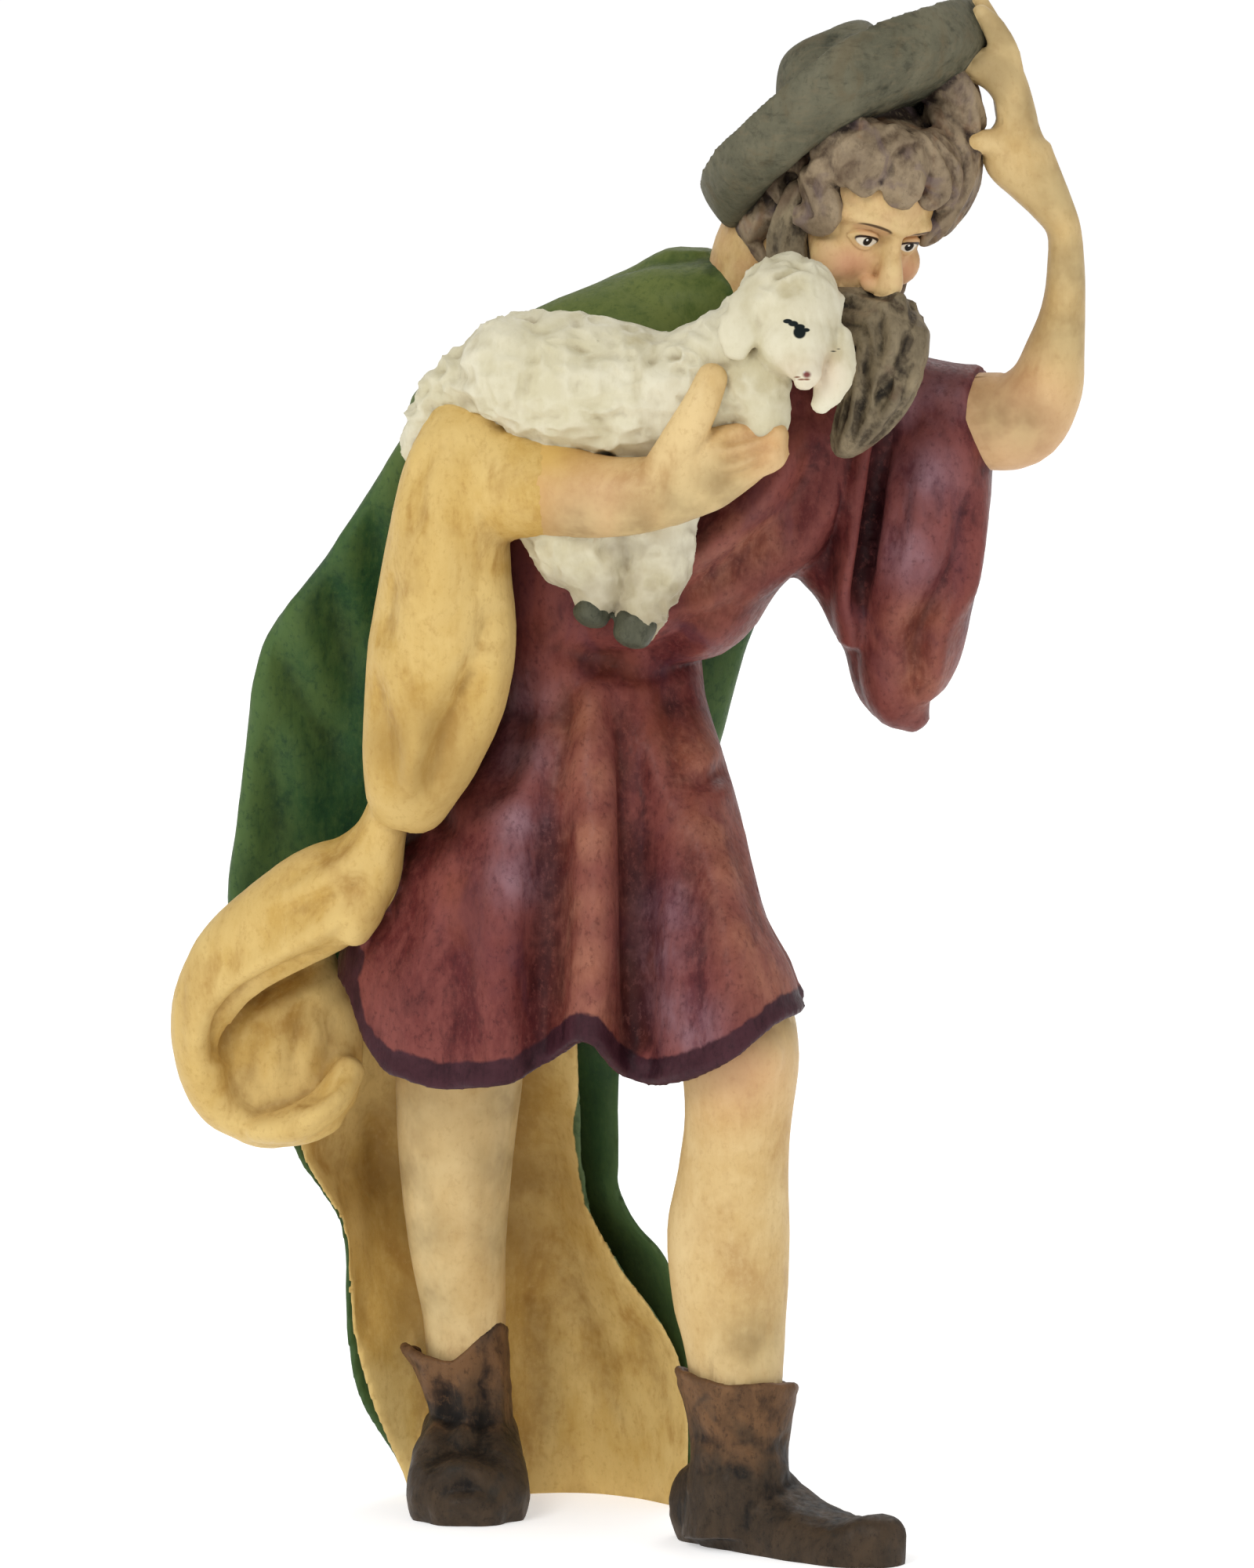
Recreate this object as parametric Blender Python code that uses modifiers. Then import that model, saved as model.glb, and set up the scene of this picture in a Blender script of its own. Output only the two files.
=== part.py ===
# A carved and painted wooden statue of the good shepherd: one solid figure with its cloak, lamb and hat.
# It stands on two boots and the cloak's bottom edge, faces -Y and is cut flat at z = 0.
import math

import bmesh
import bpy
import numpy as np
from mathutils import Matrix

# The statue's own sizes in metres: from the soles to the hand on the hat, from the cloak's turned edge
# to the raised elbow, and from the cloak's back to the lamb
STATUE_HEIGHT = 0.200
STATUE_WIDTH = 0.1179
STATUE_DEPTH = 0.0773

# The forms are drawn as seen from the front, in units of about a 200th of the height: across, depth
# (towards the viewer is negative) and height as seen by an eye that looks down a little.
LOOK_DOWN = math.radians(7.5)
VIEW = np.array([0.0, math.cos(LOOK_DOWN), -math.sin(LOOK_DOWN)])

# The clay's grain while the forms are joined, and the facets that are kept at the end
GRAIN = 0.85
FACETS = 9300

for old in list(bpy.data.objects):
    bpy.data.objects.remove(old)
figure = bpy.data.collections.new("Good shepherd statue")
bpy.context.scene.collection.children.link(figure)


def seen(points):
    """Points of the front drawing (across, depth, height as seen) as x, y, z."""
    p = np.atleast_2d(np.array(points, float)).copy()
    p[:, 2] = (p[:, 2] - p[:, 1] * math.sin(LOOK_DOWN)) / math.cos(LOOK_DOWN)
    return p


def smooth_rows(rows, count):
    """count rows on the Catmull-Rom curve through rows."""
    rows = np.array(rows, float)
    if len(rows) == 2:
        t = np.linspace(0, 1, count)[:, None]
        return rows[0] * (1 - t) + rows[1] * t
    ends = np.vstack([2 * rows[0] - rows[1], rows, 2 * rows[-1] - rows[-2]])
    t = np.linspace(0, len(rows) - 1, count)
    i = np.minimum(t.astype(int), len(rows) - 2)
    f = (t - i)[:, None]
    a, b, c, d = ends[i], ends[i + 1], ends[i + 2], ends[i + 3]
    return 0.5 * (2 * b + (c - a) * f + (2 * a - 5 * b + 4 * c - d) * f**2 + (3 * b - a - 3 * c + d) * f**3)


class Clay:
    """A heap of closed shapes that are fused later."""

    def __init__(self):
        self.points = []
        self.faces = []

    def add(self, points, faces):
        start = sum(len(p) for p in self.points)
        self.points.append(np.array(points, float))
        self.faces.extend([[start + i for i in f] for f in faces])

    def mesh(self, name, scale=1.0):
        mesh = bpy.data.meshes.new(name)
        mesh.from_pydata((np.vstack(self.points) * scale).tolist(), [], self.faces)
        mesh.update()
        return mesh


def unit(v):
    v = np.array(v, float)
    return v / np.maximum(np.linalg.norm(v, axis=-1, keepdims=True), 1e-9)


def rings_to_closed(rings):
    """Points and faces of the closed surface over a stack of rings."""
    count, sides, _ = rings.shape
    points = np.vstack([rings.reshape(-1, 3), rings[0].mean(0), rings[-1].mean(0)])
    faces = []
    for r in range(count - 1):
        for s in range(sides):
            t = (s + 1) % sides
            faces.append([r * sides + s, r * sides + t, (r + 1) * sides + t, (r + 1) * sides + s])
    first, last = count * sides, count * sides + 1
    for s in range(sides):
        t = (s + 1) % sides
        faces.append([first, t, s])
        faces.append([last, (count - 1) * sides + s, (count - 1) * sides + t])
    return points, faces


def loft(clay, rows, sides=28, across=None, power=2.0, ends=(1.0, 1.0), flat=False, steps=4, warp=None):
    """A closed limb through rows of (across, depth, height, half width, half depth[, turn in degrees])."""
    rows = np.array(rows, float)
    if rows.shape[1] == 5:
        rows = np.hstack([rows, np.zeros((len(rows), 1))])
    fine = smooth_rows(rows, (len(rows) - 1) * steps + 1)
    centre = fine[:, :3] if flat else seen(fine[:, :3])
    along = unit(np.gradient(centre, axis=0))
    if across is None:
        wide = unit(np.cross(along, VIEW))
    else:
        a = np.array(across, float)
        wide = unit(a - (along @ a)[:, None] * along)
    deep = np.cross(wide, along)
    turn = np.radians(fine[:, 5])[:, None]
    wide, deep = wide * np.cos(turn) + deep * np.sin(turn), deep * np.cos(turn) - wide * np.sin(turn)
    angle = np.linspace(0, 2 * np.pi, sides, endpoint=False)
    c, s = np.cos(angle), np.sin(angle)
    c = np.sign(c) * np.abs(c) ** (2 / power)
    s = np.sign(s) * np.abs(s) ** (2 / power)

    def ring(i, shrink, shift):
        return (
            centre[i] + along[i] * shift
            + shrink * (np.outer(c * fine[i, 3], wide[i]) + np.outer(s * fine[i, 4], deep[i]))
        )

    rings = []
    caps = (0.97, 0.85, 0.6, 0.3)
    if ends[0] > 0:
        size = ends[0] * min(fine[0, 3], fine[0, 4])
        rings += [ring(0, math.sqrt(1 - k * k), -k * size) for k in caps]
    rings += [ring(i, 1.0, 0.0) for i in range(len(fine))]
    if ends[1] > 0:
        size = ends[1] * min(fine[-1, 3], fine[-1, 4])
        rings += [ring(len(fine) - 1, math.sqrt(1 - k * k), k * size) for k in reversed(caps)]
    rings = np.array(rings)
    if warp is not None:
        rings = warp(rings)
    points, faces = rings_to_closed(rings)
    clay.add(points, faces)
    return rings


def ball(clay, centre, radii, axes=None, sides=24, flat=False):
    """An ellipsoid. axes are its three unit directions as rows."""
    radii = np.ones(3) * radii
    axes = np.eye(3) if axes is None else np.array(axes, float)
    middle = np.array(centre, float) if flat else seen(centre)[0]
    rings = []
    for lat in np.linspace(-90, 90, sides // 2 + 1)[1:-1]:
        a = np.radians(lat)
        t = np.linspace(0, 2 * np.pi, sides, endpoint=False)
        local = np.stack([np.cos(a) * np.cos(t), np.cos(a) * np.sin(t), np.sin(a) * np.ones(sides)], 1)
        rings.append(middle + (local * radii) @ axes)
    points, faces = rings_to_closed(np.array(rings))
    points[-2] = middle + (np.array([0, 0, -1]) * radii) @ axes
    points[-1] = middle + (np.array([0, 0, 1]) * radii) @ axes
    clay.add(points, faces)


def turned(yaw, pitch, roll):
    """Rows are the right, back and up directions of a thing that faced -Y: turned by yaw to +X, pitched down and rolled clockwise as seen."""
    y, p, r = (math.radians(a) for a in (yaw, pitch, roll))
    m = Matrix.Rotation(r, 3, "Y") @ Matrix.Rotation(y, 3, "Z") @ Matrix.Rotation(p, 3, "X")
    return np.array(m.transposed())


def fuse(clay, name, grain, rounds=2):
    """One closed mesh object from the heap."""
    mesh = clay.mesh(name)
    bm = bmesh.new()
    bm.from_mesh(mesh)
    bmesh.ops.recalc_face_normals(bm, faces=bm.faces)
    bm.to_mesh(mesh)
    bm.free()
    obj = bpy.data.objects.new(name, mesh)
    figure.objects.link(obj)
    return remeshed(obj, grain, rounds)


def remeshed(obj, grain, rounds):
    remesh = obj.modifiers.new("Fuse", "REMESH")
    remesh.mode = "VOXEL"
    remesh.voxel_size = grain
    smooth = obj.modifiers.new("Smooth", "SMOOTH")
    smooth.factor = 0.5
    smooth.iterations = rounds
    made = bpy.data.meshes.new_from_object(obj.evaluated_get(bpy.context.evaluated_depsgraph_get()))
    obj.modifiers.clear()
    obj.data = made
    return obj


def coords(obj):
    co = np.empty(len(obj.data.vertices) * 3, np.float32)
    obj.data.vertices.foreach_get("co", co)
    return co.reshape(-1, 3).astype(float)


def put(obj, co):
    obj.data.vertices.foreach_set("co", co.astype(np.float32).ravel())
    obj.data.update()


def normals(obj):
    n = np.empty(len(obj.data.vertices) * 3, np.float32)
    obj.data.vertex_normals.foreach_get("vector", n)
    return n.reshape(-1, 3).astype(float)


def around(obj, values, rounds):
    """values at the points, evened out over their neighbours."""
    edges = np.empty(len(obj.data.edges) * 2, np.int32)
    obj.data.edges.foreach_get("vertices", edges)
    a, b = edges[::2], edges[1::2]
    count = np.bincount(a, minlength=len(values)) + np.bincount(b, minlength=len(values))
    for _ in range(rounds):
        total = np.stack([np.bincount(a, values[b, k], len(values)) + np.bincount(b, values[a, k], len(values)) for k in range(values.shape[1])], 1)
        values = 0.5 * values + 0.5 * total / count[:, None]
    return values


def soft_normals(obj):
    return unit(around(obj, normals(obj), 4))


def to_path(co, path):
    """Distance of each point to the polyline and how far along it the nearest point is, 0 to 1."""
    best = np.full(len(co), 1e9)
    where = np.zeros(len(co))
    lengths = np.linalg.norm(np.diff(path, axis=0), axis=1)
    total = lengths.sum()
    start = 0.0
    for a, b, length in zip(path[:-1], path[1:], lengths):
        ab = b - a
        t = np.clip(((co - a) @ ab) / max(ab @ ab, 1e-12), 0, 1)
        d = np.linalg.norm(co - (a + t[:, None] * ab), axis=1)
        near = d < best
        best[near] = d[near]
        where[near] = (start + t[near] * length) / total
        start += length
    return best, where


def stroke(obj, n, points, width, depth, fade=0.25):
    """A chisel stroke seen from the front: depth > 0 cuts a groove, < 0 leaves a ridge. n are the soft normals, points are (across, height as seen)."""
    co = coords(obj)
    flat = np.stack([co[:, 0], co[:, 2] * math.cos(LOOK_DOWN) + co[:, 1] * math.sin(LOOK_DOWN)], 1)
    path = smooth_rows(points, (len(points) - 1) * 6 + 1)
    low, high = path.min(0) - 4.5 * width, path.max(0) + 4.5 * width
    facing = -(n @ VIEW)
    near = np.nonzero(((flat > low) & (flat < high)).all(1) & (facing > 0.05))[0]
    if not len(near):
        return
    d, t = to_path(flat[near], path)
    # cloth banks up a little on both sides of the cut
    w = (np.exp(-((d / width) ** 2)) - 0.3 * np.exp(-(((d - 2.1 * width) / width) ** 2))) * np.clip(facing[near] * 2.5, 0, 1)
    if fade:
        w *= np.clip(t / fade, 0, 1) ** 0.7 * np.clip((1 - t) / fade, 0, 1) ** 0.7
    co[near] -= n[near] * (depth * w)[:, None]
    put(obj, co)


# legs and boots
def legs():
    clay = Clay()
    loft(clay, [
        (-21, 11, 70, 8.5, 8.6),
        (-21.6, 12, 57, 8.2, 9),
        (-22.0, 13, 47, 7.4, 8.6),
        (-21.8, 14, 36, 6.3, 7),
        (-21.0, 15, 27, 5.4, 5.8),
        (-20.6, 15, 18, 5.0, 5.4),
    ])
    loft(clay, [
        (7, -5, 82, 7.5, 8.0),
        (11.8, -12, 71, 8.0, 8.4),
        (13.3, -16, 65, 8.0, 8.6),
        (14.3, -17.5, 60.0, 7.6, 8.8),
        (14.1, -17.5, 52.5, 6.8, 7.4),
        (13.5, -16.5, 45, 7.1, 7.8),
        (12.9, -15, 38, 7.8, 8.4),
        (13.1, -15, 30, 7.4, 7.6),
        (13.6, -15.5, 25, 6.6, 6.6),
        (13.9, -16, 19, 5.9, 6.0),
        (14.0, -16, 12, 5.4, 5.6),
    ])
    # kneecap and the calf's swell
    ball(clay, (15.6, -23.2, 60.5), (4.4, 3.4, 4.6))
    ball(clay, (13.0, -13.6, 37.5), (7.4, 8.3, 11.5))
    return clay


def shaft(clay, rows, rim, sides=48, levels=18):
    """A boot's shaft, open at the top, whose rim rises and falls round the ankle."""
    angle = np.linspace(-np.pi, np.pi, sides, endpoint=False)
    rise = np.interp(np.degrees(angle), *rim)
    rings = []
    for k, (x, y, h, a, b) in enumerate(smooth_rows(rows, levels)):
        v = k / (levels - 1)
        rings.append(seen(np.stack([x + a * np.cos(angle), y + b * np.sin(angle), h + rise * v**3], 1)))
    middle = rings[-1].mean(0)
    for shrink, drop in ((0.84, 0.1), (0.78, 2.4), (0.5, 4.0)):
        rings.append(middle + (rings[levels - 1] - middle) * (shrink, shrink, 1) - (0, 0, drop))
    points, faces = rings_to_closed(np.array(rings))
    clay.add(points, faces)


def boots():
    clay = Clay()
    # left boot: shaft, then the foot turned towards the right front
    shaft(clay, [(14.0, -15.0, -1, 7.0, 7.6), (14.2, -15.5, 6, 6.5, 7.4), (14.3, -15.5, 10, 6.2, 6.9), (14.2, -15.5, 14.5, 6.8, 7.0), (13.9, -15.5, 18.6, 7.9, 7.8)],
          ([-180, -150, -100, -60, -20, 20, 90, 150, 180], [1.9, 1.2, -0.6, -0.2, -0.4, -0.5, 0.6, 1.2, 1.9]))
    heel, toe = np.array([11.0, -9.8]), np.array([33.4, -30.6])
    way = unit(toe - heel)
    across = (way[1], -way[0], 0)
    rows = []
    for t, half, top in ((-3.6, 3.0, 4.0), (-2.0, 4.9, 6.0), (1, 6.0, 11), (5.5, 6.3, 11.5), (10.5, 6.4, 8.8), (15.5, 6.5, 6.6),
                         (20.5, 6.5, 5.5), (24.5, 6.2, 5.4), (27.8, 5.2, 6.2), (30.2, 2.9, 6.0)):
        p = heel + way * t
        rows.append((p[0], p[1], (top - 3.0) / 2, half, (top + 3.0) / 2))
    loft(clay, rows, across=across, power=2.6, flat=True, ends=(0.4, 0.5), steps=3)
    # right boot, its toe towards the viewer
    shaft(clay, [(-20.3, 16, -2, 6.4, 8), (-20.2, 16, 5, 6.2, 7.5), (-19.9, 15, 10, 5.4, 6.6), (-20.2, 15.5, 15, 5.4, 6.2), (-22.2, 15.5, 21.0, 7.0, 7.0)],
          ([-180, -150, -115, -90, -65, -35, 0, 60, 120, 180], [1.5, 0.9, -0.5, -0.9, 1.6, 4.4, 3.6, 1.6, 0.6, 1.5]))
    rows = []
    for y, x, half, top in ((27, -20.0, 4.5, 8), (24, -20.0, 6.0, 12), (18, -20.2, 6.6, 14), (13, -20.4, 7.2, 12.5), (8.4, -20.5, 7.8, 10.6),
                            (5.0, -20.5, 7.9, 9.0), (2.0, -20.5, 7.0, 7.4), (0.4, -20.5, 5.0, 5.4)):
        rows.append((x, y, (top - 3.0) / 2, half, (top + 3.0) / 2))
    loft(clay, rows, across=(1, 0, 0), power=2.6, flat=True, ends=(0.4, 0.5), steps=3)
    return clay


# tunic
def tunic():
    clay = Clay()
    loft(clay, [
        (-1.6, 2, 112.6, 9.4, 12),
        (0.4, 1, 117.2, 10.4, 15.0),
        (4.2, 0, 121.8, 13.6, 17.0),
        (7.4, -1, 127, 14.0, 17.5),
        (11.6, -2, 134.6, 16.8, 16.5),
        (19.0, -2, 143, 16.5, 14.0),
        (23.0, -2, 148.5, 13.5, 11.0),
        (22.0, -3, 154, 8.0, 8.0),
    ], power=2.3, ends=(0.3, 0.4))
    # cloth in the shadow between the forearm's drape and the waist
    loft(clay, [(-8, -4, 136, 8, 9), (-9, -5, 126, 8.0, 9.5), (-9, -4, 117, 7.5, 9.5), (-7.5, -2, 108, 9, 11)], ends=(0.6, 0.6))
    skirt(clay)
    # the hanging sleeve
    loft(clay, [
        (41.6, -4, 146.0, 3.6, 6.0),
        (41.0, -4, 143.5, 5.2, 8.0),
        (40.2, -5, 138, 6.4, 9.5),
        (39.2, -5, 132, 7.0, 10.5),
        (38.0, -5, 125, 7.2, 11),
        (37.0, -5, 119, 7.1, 10.5),
        (36.2, -5, 113.5, 6.7, 9.5),
        (35.2, -5, 109, 5.9, 8.5),
        (35.3, -5, 105.4, 4.4, 7),
        (37.0, -5, 102.9, 1.8, 4.0),
    ], power=2.5, ends=(0.6, 0.5))
    loft(clay, [
        (29, 0, 143, 7.5, 10),
        (28.6, 0, 134, 7.2, 9.5),
        (27.2, -1, 127, 6.6, 8.5),
        (27.0, -1, 123.4, 6.0, 8.0),
        (27.8, -1, 119.8, 4.0, 7.5),
        (29.0, -1.5, 115.6, 3.0, 6.6),
        (30.4, -2, 112.6, 2.8, 6),
        (31.6, -2, 108, 2.8, 4.5),
        (33, -3, 105, 2.2, 3.5),
    ], ends=(0.6, 0.6))
    loft(clay, [(28, -3, 143.5, 7, 9), (36, -4, 142.8, 6.7, 8.4), (40.5, -5, 142.0, 6.6, 8.0), (44.4, -6, 141.6, 6.6, 7.4)], ends=(0.5, 0.08))
    return clay


# the tunic's lower edge in front: across, and height as seen
HEM = ([-38, -35.6, -33.5, -31, -24, -14, -10, -6.5, -3.5, -0.5, 2.5, 8, 14, 19, 23], [72, 68, 62, 58.3, 56.2, 57.0, 60.0, 62.8, 62.2, 58.4, 56.6, 57.8, 60.8, 64.6, 66.5])


HEM_WELT = 0.9


def welt(clay, ring, thick, sides=8):
    """A round cord along a closed line."""
    along = unit(np.roll(ring, -1, 0) - np.roll(ring, 1, 0))
    out = unit(np.cross(along, (0, 0, 1)))
    rise = np.cross(out, along)
    turn = np.linspace(0, 2 * np.pi, sides, endpoint=False)[:, None, None]
    # just inside the cloth's face
    ring = ring - 0.75 * thick * out * np.sign(((ring - ring.mean(0)) * out).sum(1).mean())
    points = (ring + thick * (np.cos(turn) * out + np.sin(turn) * rise)).transpose(1, 0, 2).reshape(-1, 3)
    count = len(ring)
    clay.add(points, [[r * sides + s, r * sides + (s + 1) % sides, (r + 1) % count * sides + (s + 1) % sides, (r + 1) % count * sides + s] for r in range(count) for s in range(sides)])


def skirt(clay, sides=120, levels=44):
    rows = smooth_rows([
        (-2.6, 3, 113, 11.9, 12.0),
        (-3.5, 2, 106, 13.6, 14.5),
        (-4.4, 1, 98, 17.0, 17.5),
        (-7.2, 0, 89, 22.2, 19.0),
        (-8.6, -1, 78, 26.2, 20.0),
        (-7.8, -1, 70, 28.7, 21.0),
        (-7.2, -1, 63, 29.6, 21.5),
    ], levels)
    angle = np.linspace(0, 2 * np.pi, sides, endpoint=False)
    rings = []
    for k, (x, y, h, hw, hd) in enumerate(rows):
        v = k / (levels - 1)
        c, s = np.cos(angle), np.sin(angle)
        px = x + hw * c
        py = y + hd * s
        # the cloth over the advancing thigh
        step = np.clip((px + 1) / 17, 0, 1)
        step = step * step * (3 - 2 * step)
        py = py - step * np.where(s < 0, 16, 9) * min(1, 1.5 * v) ** 1.2
        plain = np.stack([px, py], 1)
        front = np.clip(-s * 2.0, 0, 1)
        fold = np.zeros(sides)
        for top, bottom, width, high in ((-5, -4.6, 3.4, 4.6), (-9.5, -10.8, 2.6, -3.2), (-9.0, -17.5, 4.0, 1.8), (2.2, 1.4, 2.6, -3.2),
                                         (-14, -23, 2.6, -0.9), (-17, -28, 4, 1.2)):
            place = top + (bottom - top) * v
            fold += high * np.exp(-(((px - place) / width) ** 2))
        back = np.clip(s * 2.0, 0, 1)
        fold_back = 1.4 * np.sin(angle * 9 + 0.6)
        lift = (fold * front + fold_back * back) * v**0.7
        px = px + lift * c * 0.3
        py = py + lift * s
        hem = np.interp(px, *HEM)
        hem = np.where(s > 0.05, np.maximum(hem + 2, 60), hem)
        ph = h + (hem - rows[-1][2]) * v**3
        rings.append(seen(np.stack([px, py, ph], 1)))
    # the hollow underside
    last = rings[-1]
    welt(clay, last + (0, 0, 0.7 * HEM_WELT), HEM_WELT)
    middle = plain.mean(0)
    for shrink, rise in ((0.68, 1.0), (0.45, 2.5)):
        flat = middle + (plain - middle) * shrink
        rings.append(np.column_stack([flat, last[:, 2] + rise]))
    points, faces = rings_to_closed(np.array(rings))
    clay.add(points, faces)
    # the cloth is thick behind its deepest fold
    ball(clay, (3.4, -19.0, 60.4), (3.2, 2.8, 2.6))


# cloak
def cloak_back():
    """The green back of the cloak: a thick curved sheet from the shoulders to the ground."""
    clay = Clay()
    # across left, across right, seen height, middle depth, forward curl of the left and right edges, half thickness
    rows = smooth_rows([
        (5, 11, 163.0, -1, 0, 0, 3.0),
        (-1.5, 14, 160, 3, 2, 2, 6.0),
        (-13, 19, 155, 7, 5, 3, 8.0),
        (-21.3, 24, 149.5, 10, 7, 5, 9.0),
        (-26.5, 27, 144, 12, 9, 6, 9.0),
        (-31.5, 26, 136, 14, 10, 6, 9.0),
        (-38.0, 21.6, 126, 16, 10, 6, 9.0),
        (-45.7, 16.4, 116.0, 18, 10, 5, 9.0),
        (-47.8, 14.2, 109, 19, 10, 5, 9.0),
        (-49.0, 11.8, 100, 20, 9, 4, 9.0),
        (-50.2, 8.6, 90, 21, 8, 4, 8.5),
        (-51.4, 4, 80, 22, 8, 4, 8.0),
        (-49.0, 0.5, 69, 22, 8, 3, 7.5),
        (-46.0, -1, 58, 27, 12, 9, 5.0),
        (-42.2, -1, 48.5, 30, 14, 13, 4.0),
        (-39.8, -1, 45, 30.5, 14, 14, 3.8),
        (-37.2, 1.2, 40.5, 31, 14, 15, 3.7),
        (-36.4, 5.4, 35.5, 31, 14, 16, 3.7),
        (-36.2, 8.2, 26, 31, 13, 16, 3.7),
        (-34.6, 8.8, 17, 31, 11, 16, 3.7),
        (-29.6, 8.4, 8, 31, 7, 16, 3.7),
        (-25.4, 8.0, -1, 31, 5, 16, 3.7),
    ], 90)
    sides = 64
    rings = []
    for k, (left, right, h, mid, curl_l, curl_r, thick) in enumerate(rows):
        t = np.linspace(0, 2 * np.pi, sides, endpoint=False)
        u, w = np.cos(t), np.sin(t)
        v = k / (len(rows) - 1)
        x = (left + right) / 2 + (right - left) / 2 * u
        curl = np.where(u < 0, curl_l, curl_r) * np.abs(u) ** 2.5
        # broad hanging folds on the back
        folds = 1.5 * min(1, 3 * v) * np.sin(u * 7.5 + 0.5 + 1.2 * v) * np.clip(w * 2, 0, 1) * (1 - u**4)
        y = mid - curl + thick * np.sign(w) * np.abs(w) ** 0.8 + folds
        z = seen(np.array([[0, mid, h]]))[0, 2]
        rings.append(np.stack([x, y, np.full(sides, z)], 1))
    points, faces = rings_to_closed(np.array(rings))
    clay.add(points, faces)
    # over the shoulder, behind the lamb
    loft(clay, [(14, -5, 158.2, 4.2, 7), (6, -5, 153.4, 8, 9.5), (-5, -6, 148.5, 9, 10.5), (-15, -6, 144.5, 8, 11), (-22, -5, 140, 7, 10)], ends=(0.7, 0.7))
    return clay


def lining():
    """The yellow lining that hangs over the forearm and turns out at the lower left."""
    clay = Clay()
    loft(clay, [
        (-20.2, -20, 138.6, 5.0, 6),
        (-20.4, -22, 136.8, 6.4, 8),
        (-21.3, -22, 133.0, 7.2, 9),
        (-22.3, -21, 128, 7.5, 10),
        (-22.8, -20, 122, 8.2, 10.5),
        (-23.2, -19, 114, 9.3, 11),
        (-24.2, -18, 107, 9.1, 10.5),
        (-25.8, -17, 100.4, 7.9, 9.5),
        (-27.0, -15, 96, 6.4, 8.0),
        (-27.6, -13, 93.6, 5.2, 6.5),
    ], power=2.4, ends=(0.6, 0.35))
    loft(clay, [(-21, -10, 138, 6, 10), (-24, -8, 128, 5, 10), (-26, -8, 112, 5, 10), (-28.5, -8, 96, 4, 8)], ends=(0.6, 0.6))
    # the pinch, then the turned edge sweeping to the left
    loft(clay, [
        (-30.2, -12, 92.4, 2.6, 4.5),
        (-31.4, -11, 88.4, 3.4, 5.0),
        (-34.0, -10, 83.8, 5.6, 6.5),
        (-38.4, -8.5, 80.6, 6.8, 6.6),
        (-44.0, -6, 77.2, 6.4, 6.2),
        (-49.4, -2.5, 73.4, 5.6, 6.0),
        (-53.0, 0.5, 68.8, 4.6, 6.0),
        (-54.8, 2.5, 63.6, 3.6, 6.0),
        (-54.2, 4, 58.0, 3.2, 5.6),
        (-51.8, 5, 53.8, 3.0, 5.0),
        (-48.2, 5, 51.4, 2.6, 4.6),
    ], ends=(0.6, 0.8), power=2.3)
    loft(clay, [(-32.6, -11, 85, 2.8, 4.0), (-33.4, -12, 80, 3.0, 4.2), (-34.8, -11.5, 76.4, 2.4, 3.6)], ends=(0.8, 0.8))
    # the hollow cloth inside the turned edge
    loft(clay, [(-43.0, 7, 76, 6.0, 4), (-44.8, 7.5, 71.5, 9.8, 5.0), (-45.6, 7.5, 68, 11.4, 5.4), (-45.8, 7.4, 65, 11.6, 5.6), (-45.0, 7.0, 59, 11.4, 5.4), (-44.0, 6.6, 54.4, 10.0, 5.0), (-43.6, 6, 51.4, 7.4, 4.2)],
         ends=(0.6, 0.7), power=2.5)
    loft(clay, [(-46.5, 2.5, 50.9, 2.0, 4), (-42.5, 0.5, 51.6, 2.4, 4.4), (-38.4, 0, 54.2, 2.4, 4.4), (-35.4, 1.5, 58.4, 2.0, 4)], ends=(0.8, 0.8))
    # the lining going down behind the right leg to the ground
    rows = smooth_rows([
        (-42, -6.2, 69, 16, 8, 6), (-42, -6.2, 62, 19, 9, 7), (-42, -6.0, 55, 23, 12, 9), (-41.8, -5.8, 49, 26, 13, 11), (-39.6, -5.2, 45.2, 27.5, 14, 12), (-37.0, -4.4, 41, 27.5, 14, 12),
        (-36.0, -2.2, 37, 27.5, 14, 13), (-35.8, 0.4, 33, 27.5, 14, 14), (-35.6, 4.2, 28, 27.5, 13, 15), (-34.4, 7.2, 22, 27.5, 12, 15), (-32.4, 8.0, 15, 27.5, 10, 15),
        (-29.2, 7.8, 7, 27.5, 6, 15), (-25.6, 7.6, -2, 27.5, 4, 15)], 56)
    sides = 64
    rings = []
    for left, right, h, mid, curl_l, curl_r in rows:
        t = np.linspace(0, 2 * np.pi, sides, endpoint=False)
        u, w = np.cos(t), np.sin(t)
        x = (left + right) / 2 + (right - left) / 2 * u
        curl = np.where(u < 0, curl_l, curl_r) * np.abs(u) ** 2.5
        # it comes forward to meet the right leg
        y = mid - curl - 5.0 * np.exp(-(((x + 21) / 6.5) ** 2)) + 2.6 * np.sign(w) * np.abs(w) ** 0.8
        rings.append(np.stack([x, y, np.full(sides, seen([(0, mid, h)])[0, 2])], 1))
    points, faces = rings_to_closed(np.array(rings))
    clay.add(points, faces)
    return clay


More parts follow.
